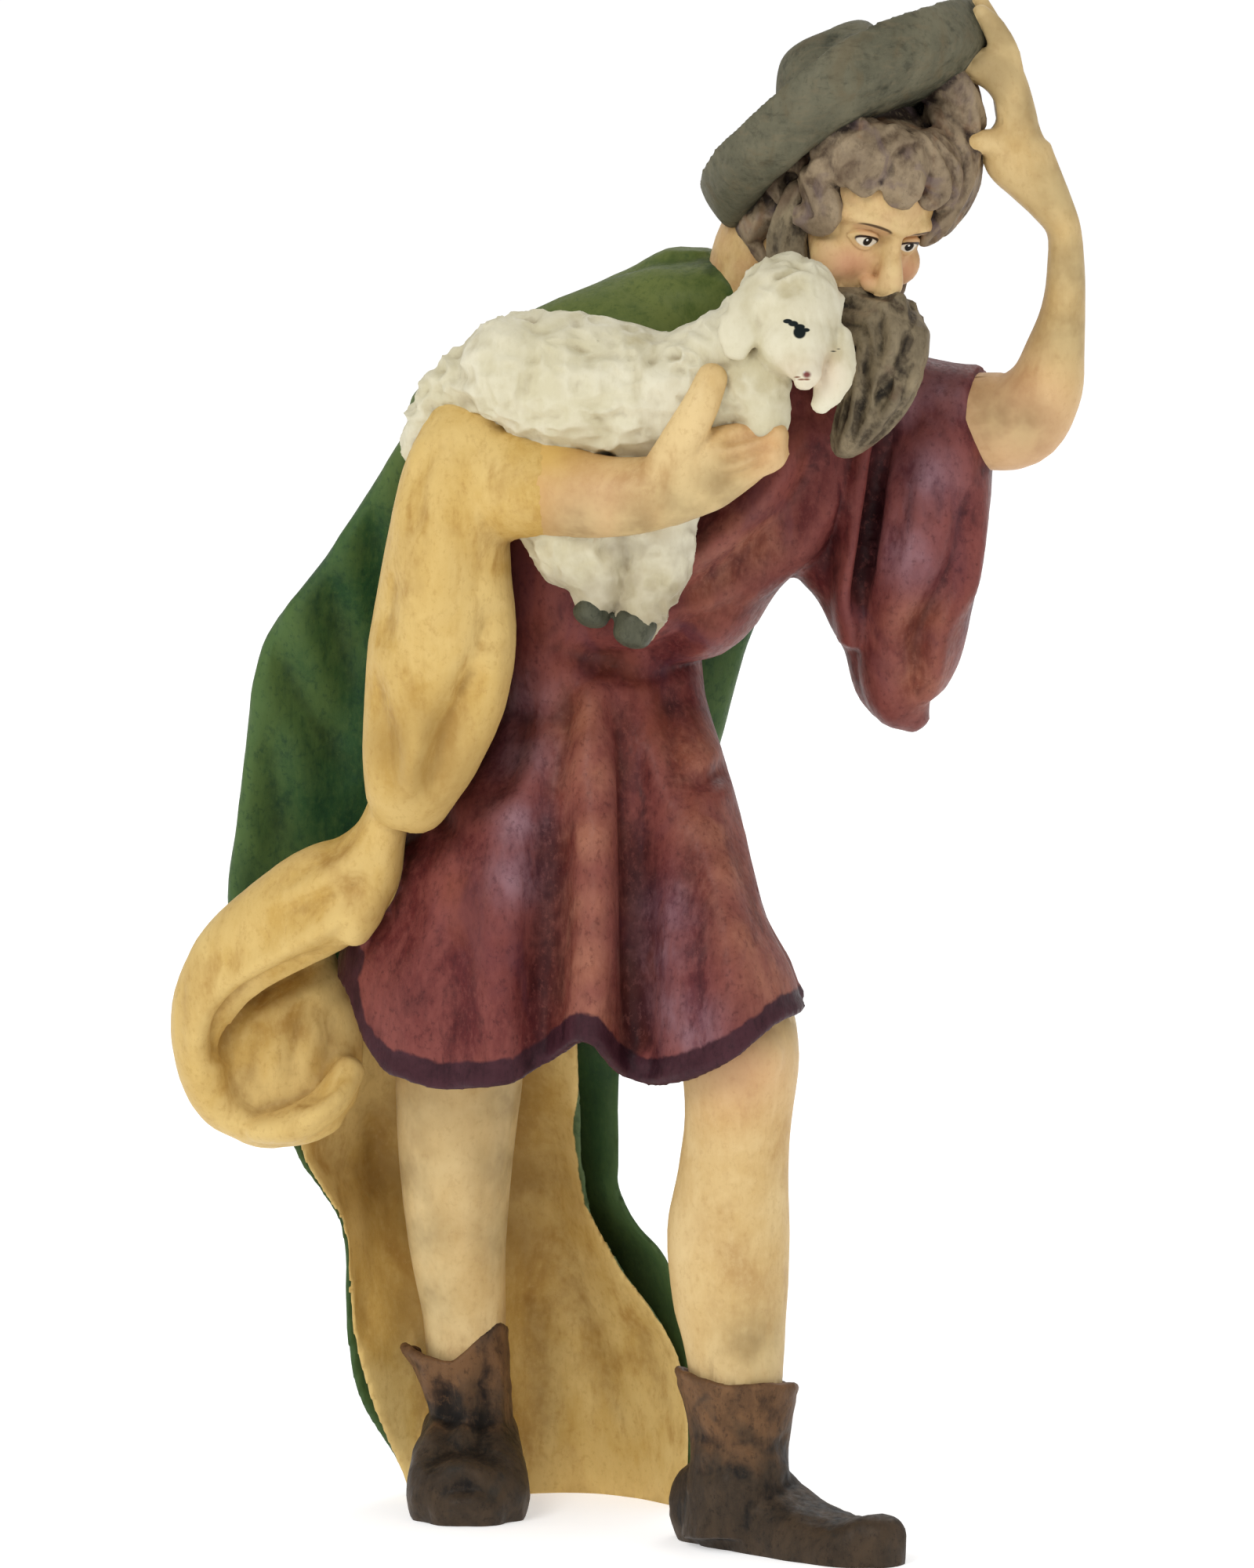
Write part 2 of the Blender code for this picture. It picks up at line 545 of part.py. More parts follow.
# arms
def raised_arm():
    clay = Clay()
    loft(clay, [
        (40, -6, 141.4, 5.6, 5.8),
        (44.5, -7, 141.1, 6.1, 6.1),
        (49.5, -9, 141.3, 6.2, 6.1),
        (52.8, -10.5, 145.0, 5.0, 5.4),
        (54.2, -11.5, 150.0, 3.8, 4.6),
        (55.2, -12, 155.0, 2.8, 3.8),
        (55.5, -13, 160, 2.4, 3.3),
        (55.2, -13, 165, 2.2, 3.1),
        (53.6, -13, 168.2, 2.8, 3.3),
        (51.4, -12.5, 171.5, 3.7, 3.6),
        (49.2, -12, 175, 4.5, 3.7),
        (49.2, -11.5, 178.5, 2.8, 3.5),
        (48.8, -11, 181, 2.3, 3.2),
    ], steps=5)
    # thumb to the left under the brim, then four fingers up to the brim's end
    loft(clay, [(48.6, -13, 172.8, 2.2, 2.2), (46.0, -13.5, 175.6, 1.8, 1.9), (43.6, -13.5, 178.4, 1.6, 1.7), (42.2, -13.5, 181.6, 1.4, 1.5)], sides=16)
    for back, lean, far in ((-13.6, 0.6, 192.4), (-11.2, 0.2, 193.8), (-8.8, -0.2, 194.0), (-6.5, -0.6, 192.8)):
        loft(clay, [(48.8, back, 177.5, 1.8, 1.6), (48.3, back, 182.5, 2.1, 1.4), (47.8, back + 0.3, 187.0, 1.9, 1.35),
                    (46.2, back + 0.8, 190.6, 1.45, 1.25), (44.6, back + 1.2, far, 1.15, 1.05)], sides=16)
    return clay


def forearm():
    clay = Clay()
    loft(clay, [
        (-20, -18, 131.5, 6.8, 7.5),
        (-15, -24, 132.6, 6.5, 6.8),
        (-9.5, -28, 132.2, 6.0, 6.2),
        (-4, -31, 131.2, 5.3, 5.4),
        (1, -33, 131.2, 4.9, 4.8),
        (5.5, -34, 132.2, 4.6, 4.4),
        (9.5, -34, 134.2, 4.9, 4.0),
    ], steps=5)
    loft(clay, [(5, -34, 131.8, 4.6, 4.2), (9.5, -35, 134.2, 5.2, 3.6), (13.5, -35, 136.0, 4.4, 3.3), (16.4, -34, 137.4, 3.4, 2.8), (18.0, -33, 138.6, 2.4, 2.4)], sides=20)
    loft(clay, [(3.5, -35, 132.5, 2.9, 2.8), (6.5, -36.5, 137.5, 2.7, 2.4), (9.0, -37, 142.0, 2.4, 2.1), (10.7, -36, 146.0, 2.0, 1.8)], sides=16)
    for k in range(4):
        loft(clay, [(11 + 1.2 * k, -36.0 + 0.5 * k, 133.6 + 1.5 * k, 1.4, 1.6), (15.6 + 0.5 * k, -36.4 + 0.5 * k, 135.0 + 1.5 * k, 1.25, 1.5),
                    (18.4 + 0.1 * k, -35, 136.8 + 1.4 * k, 1.1, 1.35), (18.8, -32.5, 138.4 + 1.4 * k, 0.9, 1.1)], sides=12)
    return clay


# lamb
def lamb():
    clay = Clay()
    loft(clay, [
        (-19.0, -22, 145.6, 4.5, 6),
        (-14.5, -24, 146.6, 7.6, 8),
        (-8, -26, 145.6, 8.8, 8.5),
        (0, -27, 144.2, 8.6, 8.2),
        (7, -28, 143.6, 7.8, 7.6),
        (12, -29, 145.0, 6.8, 7.0),
    ], steps=5)
    ball(clay, (-14.6, -28, 147.0), (6.4, 6, 6.8))
    loft(clay, [(-17, -22, 149.5, 2.4, 3), (-22.0, -22, 146.6, 2.6, 3.2), (-25.2, -21, 142.0, 2.4, 3.2), (-26.6, -20, 137.6, 2.0, 2.8), (-26.8, -19, 135.4, 1.4, 2.2)], sides=16)
    loft(clay, [(8, -28, 146, 6.5, 6.5), (13, -29, 149.6, 5.5, 6.0), (17.5, -30, 153, 5.2, 5.4)])
    loft(clay, [(13, -30, 150, 4.4, 5), (16, -32, 146, 4.6, 5), (16.8, -32, 140, 3.6, 4.2), (16.4, -31, 136, 2.6, 3.5)])
    loft(clay, [(-8.6, -23, 133, 7, 6), (-5.5, -25, 125, 6.5, 6), (-3.8, -26, 120.5, 4.4, 4.6), (-4.0, -26, 117.4, 2.6, 3.2)])
    loft(clay, [(3, -25, 132, 6.5, 6), (4.0, -26, 124, 4.6, 5.2), (2.8, -27, 119, 3.4, 4.2), (1.4, -27.5, 115.6, 2.8, 3.4)])
    ball(clay, lamb_point(0, -1.0, 0.6), (6.7, 6.9, 6.0), LAMB_AXES, flat=True)
    ball(clay, lamb_point(0, 3.2, -1.6), (5.4, 4.8, 4.8), LAMB_AXES, flat=True)
    loft(clay, [(*lamb_point(0, 2.0, -1.0), 5.0, 4.8), (*lamb_point(0, 5.2, -2.0), 3.9, 3.8), (*lamb_point(0, 7.2, -2.6), 2.7, 2.8), (*lamb_point(0, 8.6, -3.0), 1.9, 2.0)],
         flat=True, across=LAMB_AXES[0], sides=20)
    # ears
    loft(clay, [(16.2, -34, 158.4, 1.7, 1.6), (15.0, -36, 155.2, 2.6, 1.4), (14.0, -37, 152.0, 2.6, 1.3), (13.6, -37, 149.6, 1.6, 1.0)], sides=16)
    loft(clay, [(27.0, -34, 152.6, 1.5, 1.6), (26.6, -35.6, 149.0, 2.2, 1.4), (25.4, -36.4, 145.6, 2.2, 1.3), (24.2, -36.6, 143.4, 1.3, 1.0)], sides=16)
    return clay


LAMB_HEAD = seen([(20.8, -33.0, 155.3)])[0]
LAMB_AXES = turned(30, 26, 12)


def lamb_point(right, forward, up):
    return LAMB_HEAD + np.array([right, -forward, up]) @ LAMB_AXES


def hooves():
    clay = Clay()
    loft(clay, [(-3.9, -26.5, 118.0, 2.3, 2.9), (-4.6, -27, 116.2, 2.4, 2.9)], ends=(0.6, 0.6), sides=20)
    loft(clay, [(1.2, -28, 115.4, 2.8, 3.3), (0.6, -28.3, 113.6, 2.5, 3.1)], ends=(0.6, 0.6), sides=20)
    return clay


# head
HEAD = seen([(28.4, -13.0, 168.2)])[0]
HEAD_AXES = turned(38, 22, 12)


def head_point(right, forward, up):
    """A point in the head's own directions, from its centre."""
    return HEAD + np.array([right, -forward, up]) @ HEAD_AXES


def face():
    clay = Clay()
    ball(clay, head_point(0, -1.5, 3.0), (9.0, 11.2, 10.4), HEAD_AXES, flat=True)
    # cheeks and jaw
    loft(clay, [(*head_point(0, 2.6, 3), 8.4, 8.0), (*head_point(0, 3.2, -2), 8.0, 7.6), (*head_point(0, 3.8, -7), 6.6, 6.6), (*head_point(0, 4.8, -11), 4.6, 5.2)],
         flat=True, across=HEAD_AXES[0])
    for side in (-1, 1):
        ball(clay, head_point(side * 4.8, 6.6, -3.6), (3.4, 3.2, 3.2), HEAD_AXES, flat=True)
    # brow
    loft(clay, [(*head_point(-6.4, 6.6, 2.6), 1.3, 1.6), (*head_point(-3.4, 8.9, 3.2), 1.4, 1.6), (*head_point(0, 9.4, 2.9), 1.3, 1.6), (*head_point(3.4, 8.9, 3.2), 1.4, 1.6),
                (*head_point(6.4, 6.6, 2.6), 1.3, 1.6)], flat=True, across=HEAD_AXES[2], sides=16)
    # nose
    loft(clay, [(*head_point(0, 9.4, 2.0), 1.2, 1.2), (*head_point(0, 11.2, -0.8), 1.3, 1.5), (*head_point(0, 12.8, -3.6), 1.7, 1.8), (*head_point(0, 12.4, -5.0), 1.5, 1.4)],
         flat=True, across=HEAD_AXES[0], sides=16)
    for side in (-1, 1):
        ball(clay, head_point(side * 1.6, 11.2, -4.7), (1.1, 1.4, 1.1), HEAD_AXES, flat=True, sides=12)
    # lips and chin
    loft(clay, [(*head_point(-2.9, 9.6, -8.4), 0.45, 0.5), (*head_point(-1.2, 10.7, -8.0), 0.75, 0.8), (*head_point(0, 11.0, -8.2), 0.7, 0.8), (*head_point(1.2, 10.7, -8.0), 0.75, 0.8),
                (*head_point(2.9, 9.6, -8.4), 0.45, 0.5)], flat=True, across=HEAD_AXES[2], sides=14)
    loft(clay, [(*head_point(-2.4, 9.6, -9.0), 0.5, 0.5), (*head_point(0, 10.5, -9.5), 0.95, 0.9), (*head_point(2.4, 9.6, -9.0), 0.5, 0.5)],
         flat=True, across=HEAD_AXES[2], sides=14)
    ball(clay, head_point(0, 6.8, -11.0), (4.0, 3.8, 3.4), HEAD_AXES, flat=True)
    # neck
    loft(clay, [(25, -10, 168, 8, 8), (19.5, -7, 163.4, 8.0, 8), (17, -5, 158.5, 7.0, 8), (17, -4, 152, 7.0, 8)], ends=(0.5, 0.5))
    return under_hat(clay)


# full locks between the face and the raised hand
SIDE_LOCKS = [
    [(40.2, -12, 179.4, 2.6, 3.4), (41.6, -12.5, 176.4, 2.9, 3.4), (42.0, -13, 172.8, 2.7, 3.2), (40.6, -14, 169.2, 2.5, 3.0), (38.8, -15, 166.0, 1.9, 2.4), (37.8, -15.5, 164.2, 1.0, 1.6)],
    [(42.6, -10, 178.6, 2.0, 2.6), (43.0, -10.5, 175.0, 1.9, 2.6), (42.6, -11, 171.4, 1.9, 2.4), (40.8, -12, 167.6, 1.7, 2.2), (39.4, -12.5, 165.4, 1.0, 1.4)],
]


def hair():
    clay = Clay()
    ball(clay, head_point(0, -3.8, 4.6), (10.6, 10.4, 10.2), HEAD_AXES, flat=True)
    rng = np.random.default_rng(7)
    # locks laid over the skull from under the hat: angle 0 is the face's middle, positive to the head's left
    for level, (up, reach) in enumerate(((9.6, 8.2), (5.6, 10.2), (1.4, 10.8), (-2.8, 10.4), (-6.6, 9.2))):
        gap = 24 if level < 3 else 27
        for a in np.arange(-180 + 9 * level, 180 + 9 * level, gap):
            a = (a + 180) % 360 - 180
            if abs(a) < (0, 38, 62, 74, 84)[level]:
                continue
            a += rng.uniform(-4, 4)
            turn = rng.uniform(0.4, 1.0) * rng.choice([-1, 1])
            size = rng.uniform(0.85, 1.15)
            line = []
            for k in range(5):
                f = k / 4
                ang = math.radians(a + turn * 22 * math.sin(f * 3.6))
                out = reach + 1.2 * math.sin(f * 3.1) - 0.9 * f
                line.append((*head_point(out * math.sin(ang), out * 1.04 * math.cos(ang) - 2.6, up + 2.6 - 5.6 * f * size), (1.9, 2.2, 2.1, 1.7, 1.0)[k] * size, (1.5, 1.9, 1.8, 1.5, 0.9)[k] * size))
            loft(clay, line, flat=True, across=(HEAD_AXES[0] * math.cos(math.radians(a)) - HEAD_AXES[1] * -math.sin(math.radians(a))), sides=12, steps=3)
    ball(clay, head_point(0.5, 5.6, 10.2), (5.0, 3.4, 3.0), HEAD_AXES, flat=True)
    for line in SIDE_LOCKS:
        loft(clay, line, sides=16)
    # the fringe: curls standing on the forehead
    for a, up, size in ((-46, 9.4, 1.05), (-29, 10.4, 1.1), (-12, 10.6, 1.1), (5, 10.8, 1.1), (21, 10.4, 1.1), (37, 9.6, 1.05), (54, 8.0, 1.0), (-62, 7.0, 1.0)):
        ang = math.radians(a)
        base = head_point(9.0 * math.sin(ang), 9.6 * math.cos(ang) - 1.0, up)
        ball(clay, base, (2.2 * size, 2.0 * size, 2.1 * size), HEAD_AXES, flat=True, sides=12)
    return under_hat(clay)


def beard():
    clay = Clay()
    # along the jaw from the temples to the chin
    for side in (-1, 1):
        loft(clay, [(*head_point(side * 8.6, 0.4, 0.6), 1.8, 2.4), (*head_point(side * 8.4, 1.6, -4.6), 2.6, 3.0), (*head_point(side * 6.4, 4.4, -9.4), 3.2, 3.4),
                    (*head_point(side * 3.0, 7.0, -12.6), 3.8, 3.8)], flat=True, across=HEAD_AXES[1], sides=20)
        # moustache
        loft(clay, [(*head_point(side * 0.6, 11.0, -6.6), 0.9, 1.1), (*head_point(side * 2.6, 10.3, -7.3), 1.0, 1.4), (*head_point(side * 4.8, 8.4, -9.0), 0.9, 1.4),
                    (*head_point(side * 5.8, 7.2, -11.2), 0.7, 1.1)], flat=True, across=HEAD_AXES[2], sides=14)
    low = [seen([p])[0] for p in ((33.2, -21.5, 151.8), (32.8, -22.0, 147.6), (31.2, -22.0, 143.6), (28.9, -21.0, 140.2), (27.2, -20.0, 137.8))]
    rows = [(*head_point(0, 6.8, -11.4), 5.2, 3.6), (*head_point(0, 7.4, -13.8), 5.6, 4.8), (*low[0], 5.0, 5.0), (*low[1], 4.7, 4.8), (*low[2], 3.8, 4.2), (*low[3], 2.6, 3.2), (*low[4], 1.3, 2.0)]
    loft(clay, rows, flat=True, across=HEAD_AXES[0], ends=(0.35, 1))
    return clay


# hat
HAT_REACH = 21.2
HAT_CROWN = 13.7
HAT = seen([(28.9, -9.0, 177.7)])[0]
HAT_UP = unit(np.array([-0.462, 0.253, 0.850]))
HAT_RIGHT = unit(np.cross(np.array([0, 1, 0]), HAT_UP))
HAT_AXES = np.stack([HAT_RIGHT, np.cross(HAT_UP, HAT_RIGHT), HAT_UP])


def under_hat(clay):
    """Presses everything that reaches through the brim back under it."""
    for k, points in enumerate(clay.points):
        local = (points - HAT) @ HAT_AXES.T
        local[:, 2] = np.minimum(local[:, 2], -0.3)
        clay.points[k] = HAT + local @ HAT_AXES
    return clay


def hat_shape():
    clay = Clay()
    sides = 96
    t = np.linspace(0, 2 * np.pi, sides, endpoint=False)
    # across and up, as shares of the brim's reach and the crown's height
    over = smooth_rows([(0.02, 1.0), (0.21, 0.966), (0.305, 0.82), (0.39, 0.48), (0.455, 0.185), (0.59, 0.07), (0.77, 0.09), (0.87, 0.25), (0.906, 0.43), (0.925, 0.55)], 36)
    under = smooth_rows([(0.986, 0.575), (1.0, 0.37), (0.962, 0.096), (0.83, -0.055), (0.613, -0.096), (0.33, -0.096), (0.02, -0.096)], 24)
    rings = []
    for share, rise in np.vstack([over, under]):
        r, z = HAT_REACH * share, HAT_CROWN * rise
        crown = np.clip((12 - r) / 4, 0, 1)
        left = np.clip(-np.cos(t), 0, 1) ** 2 * np.clip((r - 12) / 8, 0, 1)
        x = r * np.cos(t) + 0.3 * left + crown * (0.4 + 1.3 * np.clip(z / HAT_CROWN, 0, 1))
        y = r * np.sin(t) * 0.95
        wave = 0.6 * np.sin(3 * t + 1.0) + 1.1 * np.exp(-(((t - 5.2) / 0.45) ** 2))
        lift = -3.9 * left + wave * np.clip((r - 14) / 6, 0, 1) + crown * 0.15 * x * np.clip(z / 12, 0, 1)
        rings.append(HAT + np.stack([x, y, z + lift], 1) @ HAT_AXES)
    points, faces = rings_to_closed(np.array(rings))
    clay.add(points, faces)
    return clay


# chisel strokes
STROKES = {
    "tunic": [
        ([(33.6, 142.5), (31.4, 134), (29.0, 125.4), (28.3, 114)], 1.9, 3.2),
        ([(1.2, 90), (1.8, 76), (1.4, 58)], 2.3, 1.3),
        ([(-9.5, 95), (-9.9, 83.7), (-11.4, 62)], 2.6, 1.0),
        ([(-4.2, 97), (-3.8, 82), (-4.0, 66)], 2.2, -0.9),
        ([(-15.5, 98), (-17.0, 84), (-18.5, 66)], 3.0, -0.8),
        ([(45.2, 133), (45.4, 127), (43.2, 120.5), (39.8, 115), (38.8, 109), (37.8, 104)], 1.3, -1.0),
        ([(42.6, 133), (42.6, 125.5), (40.6, 119.5), (37.2, 114), (36.6, 106)], 1.7, 1.3),
        ([(37.4, 141), (36.6, 132), (35.0, 122), (33.2, 112)], 2.0, -0.9),
        ([(-10, 112.4), (-4, 110.6), (3, 111.0), (9.5, 113.2)], 1.9, 1.6),
        ([(20, 143), (14, 134), (6, 127), (-2, 121)], 2.2, 1.1),
        ([(25, 139), (21, 130), (14, 123), (5, 117.6)], 2.0, 1.3),
        ([(22.6, 141), (18, 132.4), (10.4, 125.2), (1.4, 119.4)], 1.9, -1.0),
        ([(15.6, 118.4), (10, 115.6), (4, 113.8)], 1.4, 0.9),
        ([(27.4, 134), (22.6, 124), (17, 119)], 1.6, -0.7),
        ([(36.0, 138), (35.0, 130), (33.6, 122)], 1.1, 0.6),
        ([(-12.7, 106), (-14.4, 98), (-17.7, 92)], 1.7, 0.9),
        ([(-7.4, 109), (-8.2, 101), (-9.4, 93)], 1.5, 0.9),
        ([(-1.5, 109), (-0.4, 101), (0.8, 93)], 1.5, 0.9),
        ([(4.5, 110), (6.2, 101), (8.0, 92)], 1.7, 0.9),
        ([(14.0, 98), (11.4, 96.2), (8.0, 94.6)], 1.3, 1.0),
        ([(13.6, 94), (15.4, 84), (18.0, 74)], 2.2, 0.7),
        ([(6.4, 88), (8.4, 76), (8.2, 60)], 2.6, 0.7),
        ([(-24, 93), (-27, 82), (-30.0, 70)], 2.4, 0.8),
        ([(-20, 92), (-22.6, 78), (-24.6, 62)], 2.6, 0.6),
        ([(-27.4, 97), (-24.6, 93.4), (-22.4, 88)], 1.2, 0.8),
    ],
    "lining": [
        ([(-33.2, 110), (-31.6, 103), (-29.4, 93.4)], 1.9, 1.6),
        ([(-18.0, 110), (-22.4, 102), (-24.8, 93)], 1.9, 1.7),
        ([(-15.6, 118), (-18.0, 112), (-21.0, 106)], 1.6, 1.1),
        ([(-25.4, 104), (-27.2, 98), (-27.6, 93)], 1.5, -0.8),
        ([(-25.2, 138), (-26.4, 133), (-26.8, 126)], 1.5, 1.0),
        ([(-18.8, 130), (-18.4, 120), (-19.6, 112)], 2.4, 0.7),
        ([(-23.4, 128), (-24.6, 118), (-27.0, 108)], 2.4, -0.7),
        ([(-29.8, 122), (-31.0, 112)], 1.6, 0.8),
        ([(-30.8, 84.6), (-37.6, 80.4), (-46, 78.2)], 1.5, 0.9),
        ([(-34.0, 89.0), (-40.5, 84.6), (-47, 80.6)], 1.3, 0.6),
        ([(-32.0, 80.0), (-38.6, 76.6), (-44.6, 73.4), (-50.0, 69.6)], 1.4, -0.5),
        ([(-36.4, 73.6), (-42.0, 71.0), (-48.6, 67.4), (-51.6, 63.6), (-52.2, 59)], 1.5, 2.0),
        ([(-40.0, 68), (-42.4, 62), (-43.0, 56)], 1.3, 0.6),
        ([(-46.6, 66), (-48.0, 60), (-46.6, 55)], 1.5, 0.6),
        ([(-37.6, 66.4), (-38.4, 60.4), (-41.0, 56.4)], 1.2, 0.7),
        ([(-34.6, 59.4), (-37.8, 56.4), (-42.0, 54.0)], 1.0, 0.9),
        ([(-57.0, 72), (-57.6, 65), (-56.4, 58)], 1.2, 0.5),
        ([(-32.2, 55), (-32.4, 44), (-31.2, 28)], 1.7, 0.9),
        ([(-36.4, 47), (-34.8, 36), (-33.0, 22)], 1.4, 0.7),
        ([(-9.5, 54), (-8.5, 40), (-5.0, 24)], 2.4, 0.6),
        ([(-13.0, 30), (-11.5, 18), (-10.5, 8)], 2.2, 0.6),
        ([(-4.0, 32), (-0.5, 22), (2.5, 10)], 2.0, -0.5),
    ],
    "cloak_back": [
        ([(-47, 117), (-41, 105), (-34.8, 95)], 2.2, 1.2),
        ([(-38.4, 125), (-36.4, 112), (-35, 100)], 2.4, 1.0),
        ([(-33.0, 136), (-32.0, 124), (-31, 112)], 2.0, 0.8),
        ([(-45.6, 104), (-45.2, 92), (-44, 84)], 2.2, 0.8),
        ([(-14, 153.6), (-4, 150.4), (6, 148)], 2.0, 0.8),
        ([(-1, 158), (6, 155), (11, 151)], 1.8, 0.8),
        ([(-24, 145), (-27, 138)], 1.8, 0.8),
    ],
    "forearm": [
        ([(11.5, 137.6), (15.2, 138.4), (18.4, 139.6)], 0.6, 0.6),
        ([(12.0, 135.4), (15.8, 136.6), (18.8, 138.0)], 0.6, 0.6),
        ([(11.0, 133.2), (15.0, 134.4), (18.2, 136.4)], 0.6, 0.6),
    ],
    "hat_shape": [
        ([(10.5, 166), (22, 176), (34, 183), (46, 187)], 1.3, 0.5),
        ([(24, 188.6), (30, 191.6)], 1.2, 0.7),
    ],
    "beard": [
        ([(37.0, 157), (37.4, 151), (34.6, 146), (29.5, 140)], 0.9, 0.9),
        ([(34.4, 156), (34.8, 150), (32.2, 145.6), (28.2, 140)], 0.9, 1.0),
        ([(31.6, 155), (31.8, 149.5), (30.0, 145), (27.4, 140.4)], 0.9, 0.9),
    ],
}


def carve(name, obj):
    away = soft_normals(obj)
    for path, width, depth in STROKES.get(name, ()):
        stroke(obj, away, path, width, depth)


def build():
    made = []
    for form in (legs, boots, tunic, cloak_back, lining, raised_arm, forearm, lamb, hooves, face, hair, beard, hat_shape):
        name = form.__name__
        obj = fuse(form(), name, GRAIN)
        carve(name, obj)
        made.append(obj)
    # all forms are one heap now, joined once more into a single skin
    heap = Clay()
    for obj in made:
        heap.add(coords(obj), [list(p.vertices) for p in obj.data.polygons])
        bpy.data.objects.remove(obj)
    statue = fuse(heap, "shepherd", GRAIN * 0.85, rounds=1)
    thin = statue.modifiers.new("Facets", "DECIMATE")
    thin.ratio = FACETS / (2 * len(statue.data.polygons))
    thin.use_collapse_triangulate = True
    statue.data = bpy.data.meshes.new_from_object(statue.evaluated_get(bpy.context.evaluated_depsgraph_get()))
    statue.modifiers.clear()
    skin_only(statue)
    stand(statue)
    return statue


def skin_only(statue):
    """Drops the little bubbles left inside where the forms overlap."""
    bm = bmesh.new()
    bm.from_mesh(statue.data)
    left = set(bm.verts)
    bodies = []
    while left:
        body, rim = set(), [left.pop()]
        while rim:
            vert = rim.pop()
            body.add(vert)
            for edge in vert.link_edges:
                other = edge.other_vert(vert)
                if other in left:
                    left.discard(other)
                    rim.append(other)
        bodies.append(body)
    bodies.sort(key=len)
    bmesh.ops.delete(bm, geom=[vert for body in bodies[:-1] for vert in body], context="VERTS")
    bm.to_mesh(statue.data)
    bm.free()


def stand(statue):
    """Cuts the soles flat, centres the statue over the origin and gives it its sizes."""
    bm = bmesh.new()
    bm.from_mesh(statue.data)
    bmesh.ops.bisect_plane(bm, geom=bm.verts[:] + bm.edges[:] + bm.faces[:], dist=1e-4, plane_co=(0, 0, 0), plane_no=(0, 0, 1), clear_inner=True)
    bmesh.ops.holes_fill(bm, edges=[e for e in bm.edges if e.is_boundary], sides=0)
    bmesh.ops.triangulate(bm, faces=bm.faces[:])
    bmesh.ops.remove_doubles(bm, verts=bm.verts, dist=1e-3)
    bmesh.ops.recalc_face_normals(bm, faces=bm.faces)
    bm.to_mesh(statue.data)
    bm.free()
    co = coords(statue)
    low, high = co.min(0), co.max(0)
    middle = (low + high) / 2
    co -= (middle[0], middle[1], low[2])
    put(statue, co * (STATUE_WIDTH, STATUE_DEPTH, STATUE_HEIGHT) / (high - low))


def paint(statue):
    wood = bpy.data.materials.new("Carved and painted wood")
    wood.use_nodes = True
    shader = wood.node_tree.nodes["Principled BSDF"]
    shader.inputs["Base Color"].default_value = (0.42, 0.27, 0.14, 1)
    shader.inputs["Roughness"].default_value = 0.55
    statue.data.materials.clear()
    statue.data.materials.append(wood)


statue = build()
paint(statue)
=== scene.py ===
# The carving and the paint of a wooden good shepherd statue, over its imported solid.
import math

import bmesh
import bpy
import numpy as np
from mathutils import Matrix, Vector


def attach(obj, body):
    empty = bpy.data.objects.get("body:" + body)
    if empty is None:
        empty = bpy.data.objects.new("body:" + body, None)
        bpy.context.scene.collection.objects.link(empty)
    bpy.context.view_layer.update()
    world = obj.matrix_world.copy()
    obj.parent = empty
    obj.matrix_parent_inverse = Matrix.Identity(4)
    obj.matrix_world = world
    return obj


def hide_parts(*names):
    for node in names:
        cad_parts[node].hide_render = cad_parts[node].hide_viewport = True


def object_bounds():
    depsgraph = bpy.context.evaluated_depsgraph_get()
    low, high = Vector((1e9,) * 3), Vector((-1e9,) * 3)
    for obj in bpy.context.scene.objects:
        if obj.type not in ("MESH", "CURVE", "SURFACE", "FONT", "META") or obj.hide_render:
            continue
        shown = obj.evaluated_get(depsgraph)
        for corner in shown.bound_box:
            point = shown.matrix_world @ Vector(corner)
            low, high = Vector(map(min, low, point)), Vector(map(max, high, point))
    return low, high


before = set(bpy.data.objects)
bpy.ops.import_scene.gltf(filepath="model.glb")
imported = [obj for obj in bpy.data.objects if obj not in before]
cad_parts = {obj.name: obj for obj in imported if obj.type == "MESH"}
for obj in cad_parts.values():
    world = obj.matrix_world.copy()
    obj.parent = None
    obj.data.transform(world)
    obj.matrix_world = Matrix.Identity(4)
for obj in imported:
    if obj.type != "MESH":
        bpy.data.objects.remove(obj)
cad_low, cad_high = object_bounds()

# The forms are drawn as seen from the front, in units of about a 200th of the height: across, depth
# (towards the viewer is negative) and height as seen by an eye that looks down a little.
LOOK_DOWN = math.radians(7.5)
VIEW = np.array([0.0, math.cos(LOOK_DOWN), -math.sin(LOOK_DOWN)])
# the drawing's extent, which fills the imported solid's box
DRAWN_LOW = np.array([-58.38, -40.18, 0.0])
DRAWN_HIGH = np.array([57.91, 36.10, 197.30])
DRAWN_MIDDLE = (DRAWN_LOW + DRAWN_HIGH) / 2 * (1, 1, 0)
UNIT = (np.array(cad_high) - np.array(cad_low)) / (DRAWN_HIGH - DRAWN_LOW)


def seen(points):
    """Points of the front drawing (across, depth, height as seen) as x, y, z."""
    p = np.atleast_2d(np.array(points, float)).copy()
    p[:, 2] = (p[:, 2] - p[:, 1] * math.sin(LOOK_DOWN)) / math.cos(LOOK_DOWN)
    return p


def on_drawing(co):
    """Across and height as seen, for points x, y, z."""
    return np.stack([co[:, 0], co[:, 2] * math.cos(LOOK_DOWN) + co[:, 1] * math.sin(LOOK_DOWN)], 1)


